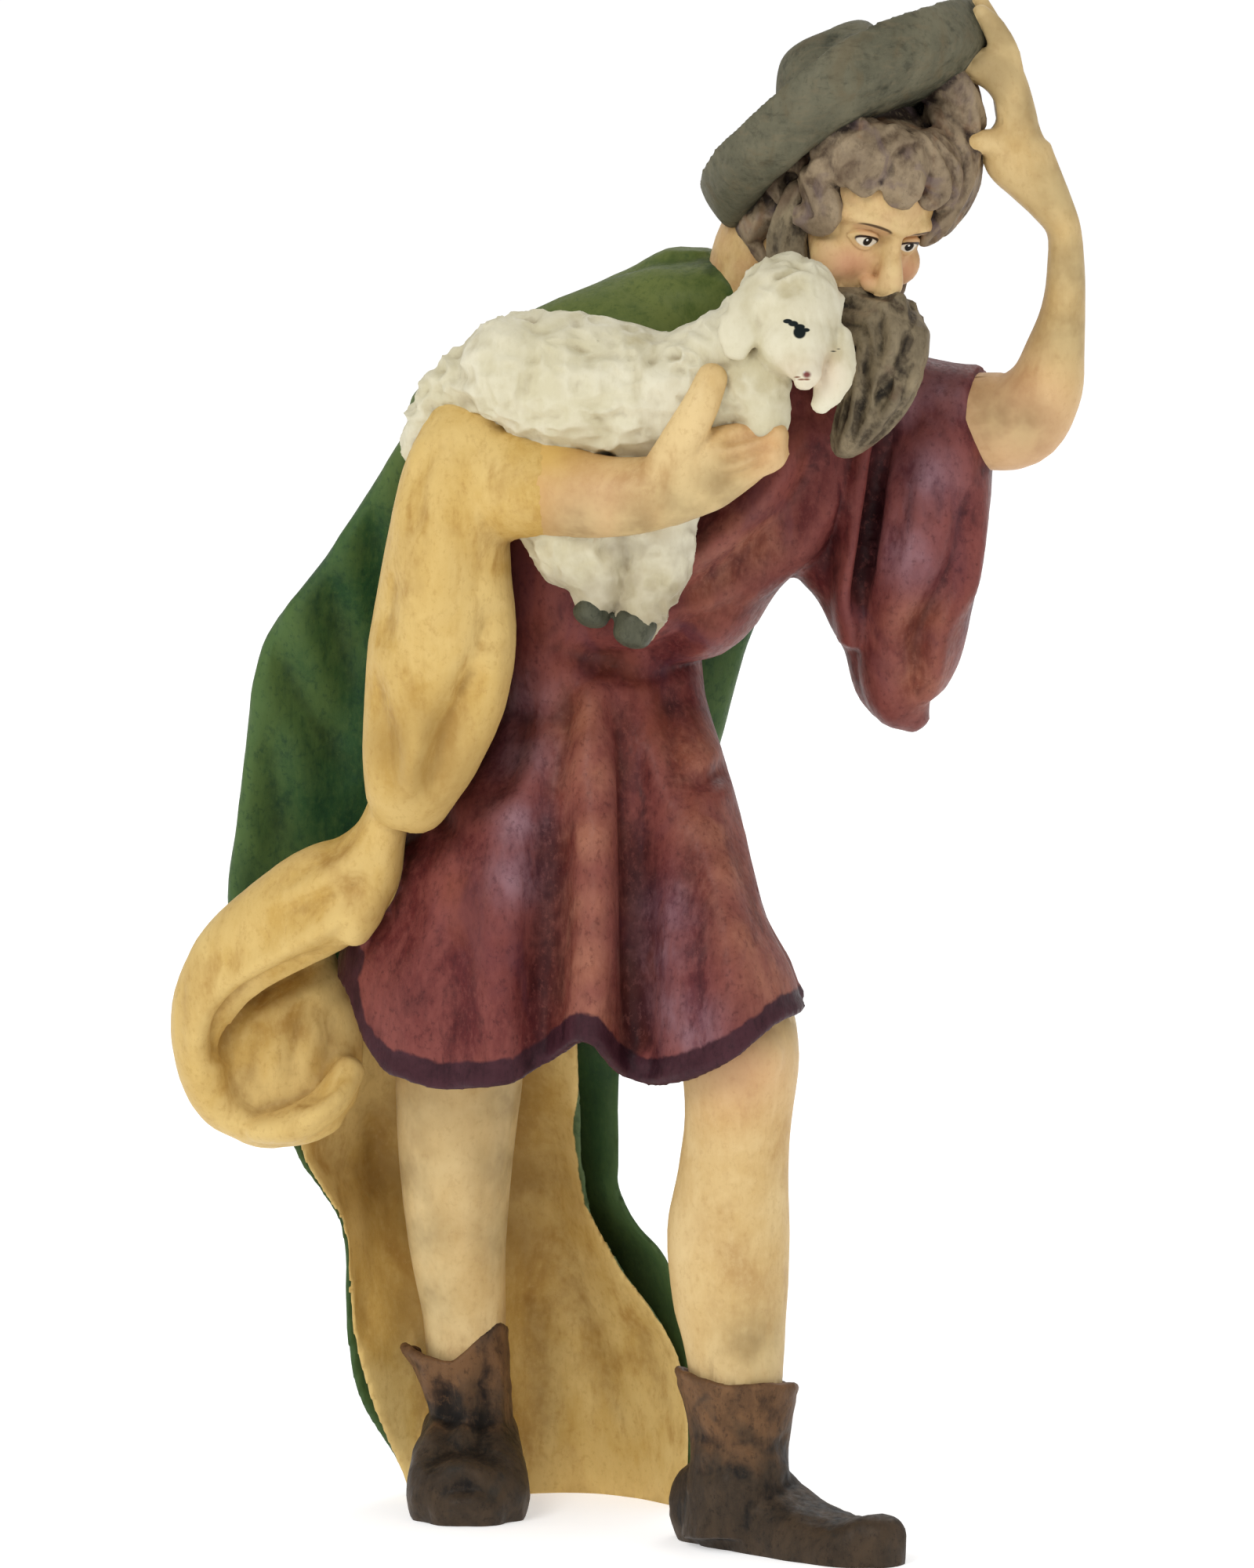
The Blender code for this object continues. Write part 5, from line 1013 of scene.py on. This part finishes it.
class Paint:
    """A painted surface: nodes that mix tones in the object's own coordinates."""

    def __init__(self, name):
        self.mat = bpy.data.materials.new(name)
        self.mat.use_nodes = True
        self.tree = self.mat.node_tree
        self.shader = self.tree.nodes["Principled BSDF"]
        self.place = self.add("ShaderNodeTexCoord").outputs["Object"]

    def add(self, kind, **settings):
        node = self.tree.nodes.new(kind)
        for key, value in settings.items():
            setattr(node, key, value)
        return node

    def join(self, source, target):
        if isinstance(source, (int, float, tuple)):
            target.default_value = source
        else:
            self.tree.links.new(source, target)

    def grain(self, size, stretch=(1, 1, 1), detail=3.0, rough=0.55, warp=0.0):
        """Noise from 0 to 1 whose features are size mm across."""
        turn = self.add("ShaderNodeMapping")
        turn.inputs["Scale"].default_value = stretch
        self.join(self.place, turn.inputs["Vector"])
        noise = self.add("ShaderNodeTexNoise")
        self.join(turn.outputs[0], noise.inputs["Vector"])
        noise.inputs["Scale"].default_value = MM_IN_METRE / size
        noise.inputs["Detail"].default_value = detail
        noise.inputs["Roughness"].default_value = rough
        noise.inputs["Distortion"].default_value = warp
        return noise.outputs["Fac"]

    def height(self):
        parts = self.add("ShaderNodeSeparateXYZ")
        self.join(self.place, parts.inputs[0])
        return parts.outputs["Z"]

    def note(self, name):
        return self.add("ShaderNodeAttribute", attribute_name=name).outputs["Fac"]

    def ramp(self, value, low, high, start=0.0, end=1.0):
        r = self.add("ShaderNodeMapRange", interpolation_type="SMOOTHSTEP")
        for socket, v in zip(r.inputs, (value, low, high, start, end)):
            self.join(v, socket)
        return r.outputs[0]

    def sum(self, a, b, how="ADD"):
        m = self.add("ShaderNodeMath", operation=how)
        self.join(a, m.inputs[0])
        self.join(b, m.inputs[1])
        return m.outputs[0]

    def mix(self, share, a, b):
        m = self.add("ShaderNodeMix", data_type="RGBA")
        self.join(share, m.inputs[0])
        for colour, socket in ((a, m.inputs[6]), (b, m.inputs[7])):
            self.join((*colour, 1.0) if isinstance(colour, tuple) else colour, socket)
        return m.outputs[2]

    def veil(self, c, colour, value, low, high, share):
        """colour over c, from none where value is low to share of it where value is high."""
        return self.mix(self.ramp(value, low, high, 0.0, share), c, colour)

    def part(self, name, share):
        return self.sum(self.note(name), share, "MULTIPLY")

    def ragged(self, value, size, reach):
        """value with an uneven edge."""
        return self.sum(value, self.ramp(self.grain(size), 0.3, 0.7, -reach, reach))

    def spot(self, middle, axes, radii, edge=0.12):
        """1 inside an ellipsoid of the drawing, 0 outside."""
        turn = self.add("ShaderNodeMapping", vector_type="TEXTURE")
        turn.inputs["Location"].default_value = placed(middle)
        turn.inputs["Rotation"].default_value = Matrix(np.array(axes).T.tolist()).to_euler()
        turn.inputs["Scale"].default_value = np.array(radii) * UNIT.mean()
        self.join(self.place, turn.inputs["Vector"])
        far = self.add("ShaderNodeVectorMath", operation="LENGTH")
        self.join(turn.outputs[0], far.inputs[0])
        return self.ramp(far.outputs["Value"], 1 - edge, 1 + edge, 1.0, 0.0)

    def finish(self, colour, rough=(0.42, 0.6), bump=0.25, size=0.5):
        self.join(colour, self.shader.inputs["Base Color"])
        fine = self.grain(size, (1, 1, 0.45), 4.0, 0.6)
        self.join(self.ramp(fine, 0.3, 0.7, *rough), self.shader.inputs["Roughness"])
        relief = self.add("ShaderNodeBump")
        relief.inputs["Strength"].default_value = bump
        relief.inputs["Distance"].default_value = BRUSH_RELIEF
        self.join(fine, relief.inputs["Height"])
        self.join(relief.outputs[0], self.shader.inputs["Normal"])
        self.shader.inputs["Specular IOR Level"].default_value = 0.12
        return self.mat


def tones(p, dark, middle, light, shade_colour, patch=9.0, streak=(1, 1, 0.28), shade_share=0.8, brushed=1.0, deep=1.7):
    """The base of every paint here: patches, brush streaks, painted shade in hollows and painted highlights on
    ridges.
    """
    c = p.mix(p.ramp(p.grain(patch, (1, 1, 0.7), 4.0, 0.6, 0.4), 0.38, 0.66), middle, light)
    c = p.veil(c, dark, p.grain(patch * 0.7, (1, 1, 0.6), 4.0, 0.6, 0.6), 0.50, 0.72, 0.75)
    brush = p.grain(1.1, streak, 4.0, 0.65, 0.3)
    c = p.veil(c, dark, brush, 0.5, 0.72, 0.45 * brushed)
    c = p.veil(c, light, brush, 0.5, 0.3, 0.40 * brushed)
    # painted shade: the dark colour laid into the hollows, and a painted highlight: the light tone laid on the ridges
    hollow = p.ragged(p.note("hollow"), 1.8, 0.15)
    c = p.veil(c, shade_colour, hollow, 0.10, deep, shade_share)
    c = p.veil(c, light, hollow, -0.10, -0.65 * deep, 0.5)
    speck = p.grain(0.8, (1, 1, 0.8), 3.0, 0.7)
    c = p.veil(c, light, speck, 0.48, 0.32, 0.34 * brushed)
    return p.veil(c, dark, speck, 0.52, 0.70, 0.42 * brushed)


def srgb(*values):
    return tuple(((v / 255 + 0.055) / 1.055) ** 2.4 if v > 10 else v / 255 / 12.92 for v in values)


def paint_cloak():
    p = Paint("Green paint")
    c = tones(p, srgb(26, 54, 40), srgb(44, 78, 45), srgb(78, 102, 56), srgb(16, 30, 22), 16.0)
    # painted light: a lighter green near the ground lifts the cloak's shaded lower part, and the shoulders get
    # lighter, yellower tones where the light falls from above
    c = p.veil(c, p.mix(p.ramp(p.grain(9.0, (1, 1, 0.5), 4.0), 0.3, 0.7), srgb(58, 80, 48), srgb(80, 100, 62)),
            p.height(), 0.080, 0.045, 0.5)
    # the shoulders' painted light, from this height up
    high = p.ramp(p.height(), 0.128, 0.16)
    return p.finish(p.mix(high, c, tones(p, srgb(54, 74, 34), srgb(77, 92, 42), srgb(104, 114, 60), srgb(28, 42, 22),
            9.0)), bump=0.3)


def paint_lining():
    p = Paint("Ochre paint")
    c = tones(p, srgb(160, 118, 54), srgb(194, 158, 86), srgb(214, 184, 118), srgb(126, 86, 34),
            12.0, shade_share=0.62, brushed=0.6)
    green = tones(p, srgb(44, 64, 44), srgb(64, 86, 54), srgb(94, 110, 74), srgb(26, 38, 28))
    edge = p.ragged(p.note("strip"), 2.5, 0.15)
    c = p.mix(p.part("shade", 0.6), c, srgb(158, 124, 64))
    return p.finish(p.mix(p.ramp(edge, -0.12, 0.12), c, green), bump=0.3)


def paint_tunic():
    p = Paint("Burgundy paint")
    c = tones(p, srgb(56, 24, 27), srgb(90, 37, 37), srgb(128, 70, 64), srgb(32, 11, 16), 8.0, shade_share=0.85)
    # painted highlights: orange-brown on the ridges, and a purple glaze that is partly a painted sheen
    uneven = p.ramp(p.grain(5.0, (1, 1, 0.6), 3.0), 0.3, 0.62, 0.35, 0.85)
    c = p.mix(p.part("warm", uneven), c, tones(p, srgb(92, 44, 34), srgb(132, 74, 54), srgb(164, 110, 88),
            srgb(70, 28, 24), 4.0))
    c = p.veil(c, srgb(134, 72, 50), p.grain(13.0, (1, 1, 0.6), 3.0), 0.52, 0.72, 0.4)
    c = p.mix(p.part("plum", uneven), c, tones(p, srgb(74, 42, 52), srgb(110, 74, 84), srgb(146, 112, 120),
            srgb(52, 28, 38), 4.0))
    c = p.veil(c, srgb(84, 48, 60), p.grain(11.0, (1.2, 1, 0.5), 3.0, 0.5, 0.8), 0.54, 0.72, 0.4)
    band = p.ragged(p.note("band"), 3.0, 0.25)
    hem = tones(p, srgb(36, 17, 23), srgb(50, 24, 31), srgb(70, 39, 46), srgb(24, 9, 14), 6.0)
    return p.finish(p.mix(p.ramp(band, 3.7, 3.1), c, hem), rough=(0.36, 0.55), bump=0.3)


def skin_tones(p, warm=1.0):
    c = tones(p, srgb(172, 132, 80), srgb(200, 166, 108), srgb(220, 193, 140), srgb(130, 88, 50), 14.0, (1, 1, 0.4),
            0.65, 0.6)
    return p.mix(p.part("blush", 0.55 * warm), c, srgb(206, 142, 116))


def paint_skin():
    p = Paint("Skin paint")
    c = skin_tones(p)
    # the lining's ochre runs over the elbow, and painted shade, greyer, falls on parts of the arms, the fingers'
    # roots and the legs
    c = p.mix(p.part("ochre", 0.85), c, p.mix(p.ramp(p.grain(6.0), 0.35, 0.65), srgb(186, 144, 70),
            srgb(208, 170, 94)))
    c = p.mix(p.part("shade", 0.75), c, p.mix(p.ramp(p.grain(5.0), 0.35, 0.65), srgb(150, 128, 88),
            srgb(190, 168, 122)))
    # open pores of the wood
    pores = p.add("ShaderNodeTexVoronoi")
    pores.inputs["Scale"].default_value = PORES_IN_METRE
    p.join(p.place, pores.inputs["Vector"])
    dots = p.sum(p.ramp(pores.outputs["Distance"], 0.03, 0.05, 1.0, 0.0), p.ramp(p.grain(6.0, detail=1.0),
            0.52, 0.56), "MULTIPLY")
    return p.finish(p.mix(p.sum(dots, 0.75, "MULTIPLY"), c, srgb(92, 58, 34)), rough=(0.38, 0.52), bump=0.12)


def paint_boots():
    p = Paint("Boot paint")
    c = tones(p, srgb(30, 22, 20), srgb(66, 48, 35), srgb(118, 86, 58), srgb(15, 11, 11), 4.0, deep=1.0)
    # the feet are nearly black
    foot = tones(p, srgb(20, 17, 16), srgb(38, 34, 30), srgb(74, 60, 46), srgb(11, 9, 8), 4.0, deep=1.0)
    c = p.mix(p.ramp(p.ragged(p.height(), 5.0, 0.003), 0.019, 0.010), c, foot)
    c = p.veil(c, srgb(46, 48, 46), p.grain(6.0, (1, 1, 0.7), 3.0, 0.5, 1.0), 0.55, 0.75, 0.5)
    return p.finish(c, rough=(0.42, 0.6), bump=0.6, size=0.8)


def paint_lamb():
    p = Paint("Ivory paint")
    c = tones(p, srgb(180, 168, 132), srgb(203, 195, 163), srgb(220, 214, 190), srgb(132, 112, 78),
            14.0, shade_share=0.75, brushed=0.3)
    # painted shade darkens the lamb towards its legs, and the cheeks are a little rosy
    c = p.veil(c, srgb(132, 114, 88), p.ragged(p.height(), 4.0, 0.003), 0.136, 0.121, 0.55)
    c = p.mix(p.sum(p.spot(lamb_point(1.6, 7.0, -3.2), LAMB_AXES, (3.4, 3.4, 2.4), 0.9), 0.4, "MULTIPLY"),
            c, srgb(214, 178, 150))
    for centre, (wide, high), edge, colour in LAMB_MARKS:
        c = p.mix(p.spot(seen([centre])[0], SEEN_AXES, (wide, 4.0, high), edge), c, srgb(*colour))
    return p.finish(c, rough=(0.36, 0.5), bump=0.2)


def paint_hooves():
    p = Paint("Hoof paint")
    return p.finish(tones(p, srgb(40, 42, 34), srgb(62, 64, 52), srgb(86, 86, 70), srgb(26, 26, 22), 3.0), bump=0.3)


def paint_hair():
    p = Paint("Hair paint")
    c = tones(p, srgb(58, 44, 37), srgb(100, 83, 66), srgb(154, 136, 110), srgb(30, 21, 19), 3.6, (1, 1, 0.6),
            0.95, 0.7, 0.9)
    c = p.veil(c, srgb(112, 96, 98), p.grain(5.5, detail=3.0, warp=0.8), 0.54, 0.7, 0.5)
    c = p.veil(c, srgb(132, 90, 58), p.grain(7.0, detail=3.0, warp=0.8), 0.56, 0.72, 0.45)
    return p.finish(c, bump=0.35)


def paint_beard():
    p = Paint("Beard paint")
    c = tones(p, srgb(38, 31, 26), srgb(72, 62, 48), srgb(142, 128, 102), srgb(22, 17, 14), 4.0, (1, 1, 0.4),
            0.95, 0.7, 0.9)
    c = p.veil(c, srgb(96, 68, 56), p.grain(6.0, detail=3.0, warp=0.8), 0.56, 0.72, 0.5)
    return p.finish(c, bump=0.35)


def paint_hat():
    p = Paint("Grey green hat paint")
    c = tones(p, srgb(46, 48, 38), srgb(72, 72, 58), srgb(112, 108, 88), srgb(28, 29, 22), 6.0, (0.25, 1, 1),
            brushed=0.6, deep=1.0)
    c = p.veil(c, srgb(44, 44, 36), p.grain(1.4, (0.3, 1, 1), 4.0, 0.65, 0.3), 0.5, 0.72, 0.5)
    c = p.veil(c, srgb(114, 104, 82), p.grain(1.2, (0.3, 1, 1), 4.0, 0.65, 0.3), 0.5, 0.72, 0.5)
    c = p.veil(c, srgb(98, 84, 60), p.grain(5.0, (1, 1, 0.5), 3.0, 0.6, 0.8), 0.52, 0.7, 0.4)
    return p.finish(c, rough=(0.5, 0.7), bump=0.35)


def paint_face():
    """A plain painted face: the marks are placed by even proportions in the head's own directions."""
    p = Paint("Face paint")
    c = skin_tones(p, 0.0)
    c = p.veil(c, srgb(196, 148, 112), p.grain(4.0), 0.35, 0.65, 0.3)

    def mark(side, forward, up, radii, colour, edge=0.12, share=1.0):
        nonlocal c
        m = p.spot(head_point(side, forward, up), HEAD_AXES, (radii[0], 4.5, radii[1]), edge)
        c = p.mix(m if share == 1.0 else p.sum(m, share, "MULTIPLY"), c, colour)

    skin, brown = srgb(206, 168, 124), srgb(58, 38, 28)
    for side in (-1, 1):
        mark(side * 4.6, 10.0, -3.4, (2.6, 2.2), srgb(206, 134, 110), 0.9, 0.55)
        # brow: a dark bow, its lower part painted over
        mark(side * 3.7, 10.4, 2.3, (2.3, 0.95), brown, 0.1, 0.9)
        mark(side * 3.8, 10.4, 1.85, (2.5, 0.95), skin, 0.12)
        # upper lid's line, white of the eye, iris and a painted highlight on it
        mark(side * 3.55, 10.0, 0.42, (1.75, 0.85), srgb(44, 28, 22), 0.08)
        mark(side * 3.5, 10.0, 0.16, (1.5, 0.66), srgb(226, 216, 198), 0.1)
        mark(side * 3.45, 10.0, 0.26, (0.68, 0.66), srgb(30, 24, 20), 0.1)
        mark(side * 3.45 - 0.2, 10.0, 0.46, (0.15, 0.15), srgb(240, 240, 235), 0.3)
        mark(side * 0.85, 11.6, -8.0, (1.25, 0.55), srgb(150, 44, 44), 0.2)
    mark(0, 11.4, -9.3, (1.7, 0.75), srgb(164, 60, 54), 0.2)
    mark(0, 11.6, -8.55, (2.0, 0.16), srgb(84, 26, 28), 0.5)
    return p.finish(c, rough=(0.38, 0.5), bump=0.12)


SEEN_AXES = np.array([(1, 0, 0), (0, math.cos(LOOK_DOWN), -math.sin(LOOK_DOWN)), (0, math.sin(LOOK_DOWN),
        math.cos(LOOK_DOWN))])
# what is painted on the lamb's head: place, half sizes, softness of the edge, colour
INK, MOUTH = (18, 26, 26), (126, 82, 62)
LAMB_MARKS = [
    # the near eye with its lash, then the far eye
    ((21.6, -40, 151.5), (0.8, 0.8), 0.15, INK),
    ((20.1, -40, 152.9), (0.6, 0.3), 0.15, INK),
    ((20.8, -40, 152.6), (0.65, 0.36), 0.15, INK),
    ((21.6, -40, 152.2), (0.7, 0.36), 0.15, INK),
    ((22.4, -40, 151.8), (0.5, 0.26), 0.15, INK),
    ((25.9, -40, 149.2), (0.6, 0.16), 0.15, INK),
    ((26.5, -40, 149.5), (0.5, 0.14), 0.15, INK),
    # a painted highlight by the nose, the nose and the mouth's line
    ((22.2, -43, 146.5), (0.16, 0.16), 0.3, (235, 235, 230)),
    ((22.5, -43, 146.2), (0.6, 0.5), 0.35, (120, 66, 62)),
    ((21.2, -43, 145.9), (0.6, 0.14), 0.3, MOUTH),
    ((21.8, -43, 145.6), (0.6, 0.14), 0.3, MOUTH),
    ((22.5, -43, 145.6), (0.5, 0.14), 0.3, MOUTH),
]


# each carving: its maker, its paint and the triangles it keeps before the union
CARVINGS = [
    (lambda: draped(cloak_back, "cloak", 0.62, 0.16, 3), "cloak", 26000),
    (lambda: draped(lining, "lining", 0.55, 0.15, 5), "lining", 28000),
    (lambda: draped(tunic, "tunic", 0.55, 0.15, 7), "tunic", 40000),
    (lambda: draped(legs, "legs", 0.55, 0.09, 9), "skin", 12000),
    (lambda: draped(boots, "boots", 0.45, 0.22, 11), "boots", 16000),
    (lambda: draped(raised_arm, "arm", 0.4, 0.07, 13), "skin", 14000),
    (fine_lamb, "lamb", 40000),
    (lambda: draped(hooves, "hooves", 0.4, 0.05, 15), "hooves", 1500),
    (lambda: draped(forearm, "forearm", 0.4, 0.07, 17), "skin", 14000),
    (fine_face, "face", 24000),
    (fine_hair, "hair", 34000),
    (fine_beard, "beard", 22000),
    (lambda: draped(hat_shape, "hat", 0.5, 0.14, 19), "hat", 16000),
]
PAINTS = {
    "cloak": paint_cloak, "lining": paint_lining, "tunic": paint_tunic, "skin": paint_skin, "boots": paint_boots,
    "lamb": paint_lamb, "hooves": paint_hooves, "face": paint_face, "hair": paint_hair, "beard": paint_beard,
    "hat": paint_hat,
}
MOST_TRIANGLES = 190000


def applied(obj):
    """Makes the modifiers' result the object's own mesh."""
    made = bpy.data.meshes.new_from_object(obj.evaluated_get(bpy.context.evaluated_depsgraph_get()))
    obj.modifiers.clear()
    obj.data = made
    return obj


def thinned(obj, triangles):
    have = sum(len(p.vertices) - 2 for p in obj.data.polygons)
    if have > triangles:
        thin = obj.modifiers.new("Thin", "DECIMATE")
        thin.ratio = triangles / have
        thin.use_collapse_triangulate = True
        applied(obj)
    return obj


def joined(base, other):
    union = base.modifiers.new("Join", "BOOLEAN")
    union.operation = "UNION"
    union.solver = "MANIFOLD"
    union.material_mode = "INDEX"
    union.object = other
    applied(base)
    bpy.data.objects.remove(other)
    return base


def carve_all():
    """The whole figure as one closed skin whose faces keep the number of their paint."""
    figure = None
    for make, paint, triangles in CARVINGS:
        made = make()
        # two forms share them as the face and the eyes do
        for obj, share in zip(made, (1.0,) if len(made) == 1 else (0.72, 0.28)):
            thinned(obj, triangles / 1 * share)
            obj.data.materials.clear()
            for paint_coat in painted:
                obj.data.materials.append(paint_coat)
            obj.data.polygons.foreach_set("material_index", [list(PAINTS).index(paint)] * len(obj.data.polygons))
            figure = obj if figure is None else joined(figure, obj)
    return thinned(figure, MOST_TRIANGLES)


def stand(statue):
    """Cuts the soles flat and closes the cut."""
    bm = bmesh.new()
    bm.from_mesh(statue.data)
    bmesh.ops.bisect_plane(bm, geom=bm.verts[:] + bm.edges[:] + bm.faces[:], dist=1e-4, plane_co=(0, 0, 0),
            plane_no=(0, 0, 1), clear_inner=True)
    bmesh.ops.holes_fill(bm, edges=[e for e in bm.edges if e.is_boundary], sides=0)
    bmesh.ops.triangulate(bm, faces=bm.faces[:])
    bmesh.ops.dissolve_degenerate(bm, dist=1e-4, edges=bm.edges[:])
    bmesh.ops.triangulate(bm, faces=bm.faces[:])
    bmesh.ops.recalc_face_normals(bm, faces=bm.faces)
    bm.to_mesh(statue.data)
    bm.free()


def hollows(statue, rounds):
    """How deep each point lies below its smoothed surroundings."""
    co = coords(statue)
    return ((around(statue, co, rounds) - co) * normals(statue)).sum(1)


def note(statue, name, values):
    """A number at each point, for the paint to read."""
    statue.data.attributes.new(name, "FLOAT", "POINT").data.foreach_set("value", values.astype(np.float32))


def near(co, points, radius):
    """1 near the points of the front drawing, fading to 0."""
    flat = on_drawing(co)
    best = np.min([np.linalg.norm(flat - p, axis=1) for p in points], axis=0)
    return np.exp(-((best / radius) ** 2))


def soften(statue, middle, radius, rounds):
    """Evens the skin out around a point."""
    co = coords(statue)
    share = np.exp(-(((co - seen(middle)) ** 2).sum(1) / radius**2))[:, None]
    put(statue, co + share * (around(statue, co, rounds) - co))


def write_notes(statue):
    co = coords(statue)
    up = on_drawing(co)[:, 1]
    hollow = 0.5 * hollows(statue, 5) / 0.07 + 0.5 * hollows(statue, 24) / 0.30
    hollow = hollow / (1 + 0.45 * np.abs(hollow))
    note(statue, "hollow", around(statue, hollow[:, None], 3)[:, 0])
    hem = np.interp(co[:, 0], *HEM)
    band = up - np.where(co[:, 1] > 1, np.maximum(hem + 2, 60), hem)
    # the band turns up along the tunic's left edge
    edge = np.array([(-35.1, 73.3), (-36.2, 70), (-35.6, 66), (-33.6, 61), (-31.6, 58)])
    left = to_path(on_drawing(co), edge)[0]
    note(statue, "band", np.minimum(band, left * 1.5 + 0.6))
    note(statue, "strip", co[:, 0] - np.interp(up, (18, 22, 26, 33, 41, 50, 58.8, 64),
            (11, 7.5, 4.0, -1.0, -5.5, -7.0, -6.0, -5.0)))
    note(statue, "ochre", np.clip(1.3 * near(co, ((-20, 141), (-18, 137), (-16.5, 133), (-16, 129), (-11, 138.5)),
            5.5), 0, 1))
    note(statue, "shade", near(co, ((56.5, 160), (56, 152), (55, 170), (52, 180), (47, 190), (-28, 53), (-28, 45),
            (-27, 37), (-26, 29), (-14.8, 55), (-14.8, 46), (-15.4, 37), (16, 24), (20.6, 66), (-6, 127.4), (1, 127),
            (7, 129), (12, 132), (47, 141), (50, 140), (44, 186), (46, 184.6), (41.6, 185), (-26, 96), (-22, 97),
            (-24, 102), (-30, 100)), 4.5))
    # where the tunic's ridges get orange-brown painted highlights
    note(statue, "warm", near(co, ((-6, 103), (-5.5, 96), (-5, 88), (-5, 80), (-5, 72), (-4.5, 65), (8.5, 99),
            (11, 90), (12, 83), (15, 76), (17.5, 70), (16, 126), (11, 121), (37, 109), (37, 114)), 4.2))
    # where the tunic gets its purple glaze with a painted sheen
    note(statue, "plum", near(co, ((-13, 106), (-13.2, 98), (-13.4, 90), (-14, 83), (5, 79), (4.6, 73), (5.4, 67),
            (8.5, 64), (34, 144), (40, 145), (38, 134), (36, 124)), 3.8))
    blush = near(co, ((47, 141), (50, 139)), 8) + 0.8 * near(co, ((14, 60),), 7)
    blush += 0.7 * near(co, ((-12, 131), (-6, 130)), 7) + 0.5 * near(co, ((17, 137),), 5)
    note(statue, "blush", np.clip(blush, 0, 1))


painted = [make() for make in PAINTS.values()]
statue = carve_all()
statue.name = "carved_shepherd"
stand(statue)
# the cloth runs into the forearm without a step
soften(statue, (-16.0, -25, 133.0), 6.5, 60)
soften(statue, (-11.0, -28, 132.5), 5.0, 40)
write_notes(statue)
put(statue, placed(coords(statue)))
statue.data.shade_smooth()
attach(statue, "root")
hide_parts("shepherd")

# floor, light and camera
FLOOR_RADIUS = 4
FLOOR_SIDES = 48
floor = bpy.data.meshes.new("floor")
turns = [2 * math.pi * side / FLOOR_SIDES for side in range(FLOOR_SIDES)]
floor.from_pydata([(FLOOR_RADIUS * math.cos(a), FLOOR_RADIUS * math.sin(a), 0) for a in turns], [],
        [list(range(FLOOR_SIDES))])
stage = bpy.data.objects.new("floor", floor)
bpy.context.scene.collection.objects.link(stage)
ground = bpy.data.materials.new("Pale floor")
ground.use_nodes = True
pale = ground.node_tree.nodes["Principled BSDF"]
pale.inputs["Base Color"].default_value = (0.9, 0.9, 0.9, 1)
pale.inputs["Roughness"].default_value = 0.9
# lit from below like a light table, so that it looks white
pale.inputs["Emission Color"].default_value = (1, 1, 1, 1)
pale.inputs["Emission Strength"].default_value = 0.46
floor.materials.append(ground)

world = bpy.data.worlds.new("Pale surroundings")
world.use_nodes = True
backdrop = world.node_tree.nodes["Background"]
backdrop.inputs["Color"].default_value = (1, 1, 1, 1)
backdrop.inputs["Strength"].default_value = 0.62
bpy.context.scene.world = world

target = Vector(placed(seen([(0, 0, 95)])[0]))


def lamp(name, spot, size, power):
    light = bpy.data.lights.new(name, "AREA")
    light.size = size
    light.energy = power
    obj = bpy.data.objects.new(name, light)
    obj.location = spot
    obj.rotation_euler = (target - obj.location).to_track_quat("-Z", "Y").to_euler()
    bpy.context.scene.collection.objects.link(obj)


lamp("key", (-0.45, -0.85, 0.80), 0.45, 4.7)
lamp("fill", (0.9, -0.8, 0.4), 0.8, 0.8)
lamp("back", (0.3, 0.9, 0.9), 0.6, 2.4)

CAMERA_AWAY = 2.5
PICTURE_HEIGHT = 200.0
SENSOR = 36
lens = bpy.data.cameras.new("camera")
lens.sensor_fit = "VERTICAL"
lens.sensor_height = SENSOR
lens.lens = SENSOR * CAMERA_AWAY / (PICTURE_HEIGHT * UNIT[2])
lens.clip_end = 50
camera = bpy.data.objects.new("camera", lens)
camera.location = target - Vector(VIEW) * CAMERA_AWAY
camera.rotation_euler = Vector(VIEW).to_track_quat("-Z", "Y").to_euler()
bpy.context.scene.collection.objects.link(camera)
bpy.context.scene.camera = camera
bpy.context.scene.view_settings.view_transform = "Standard"
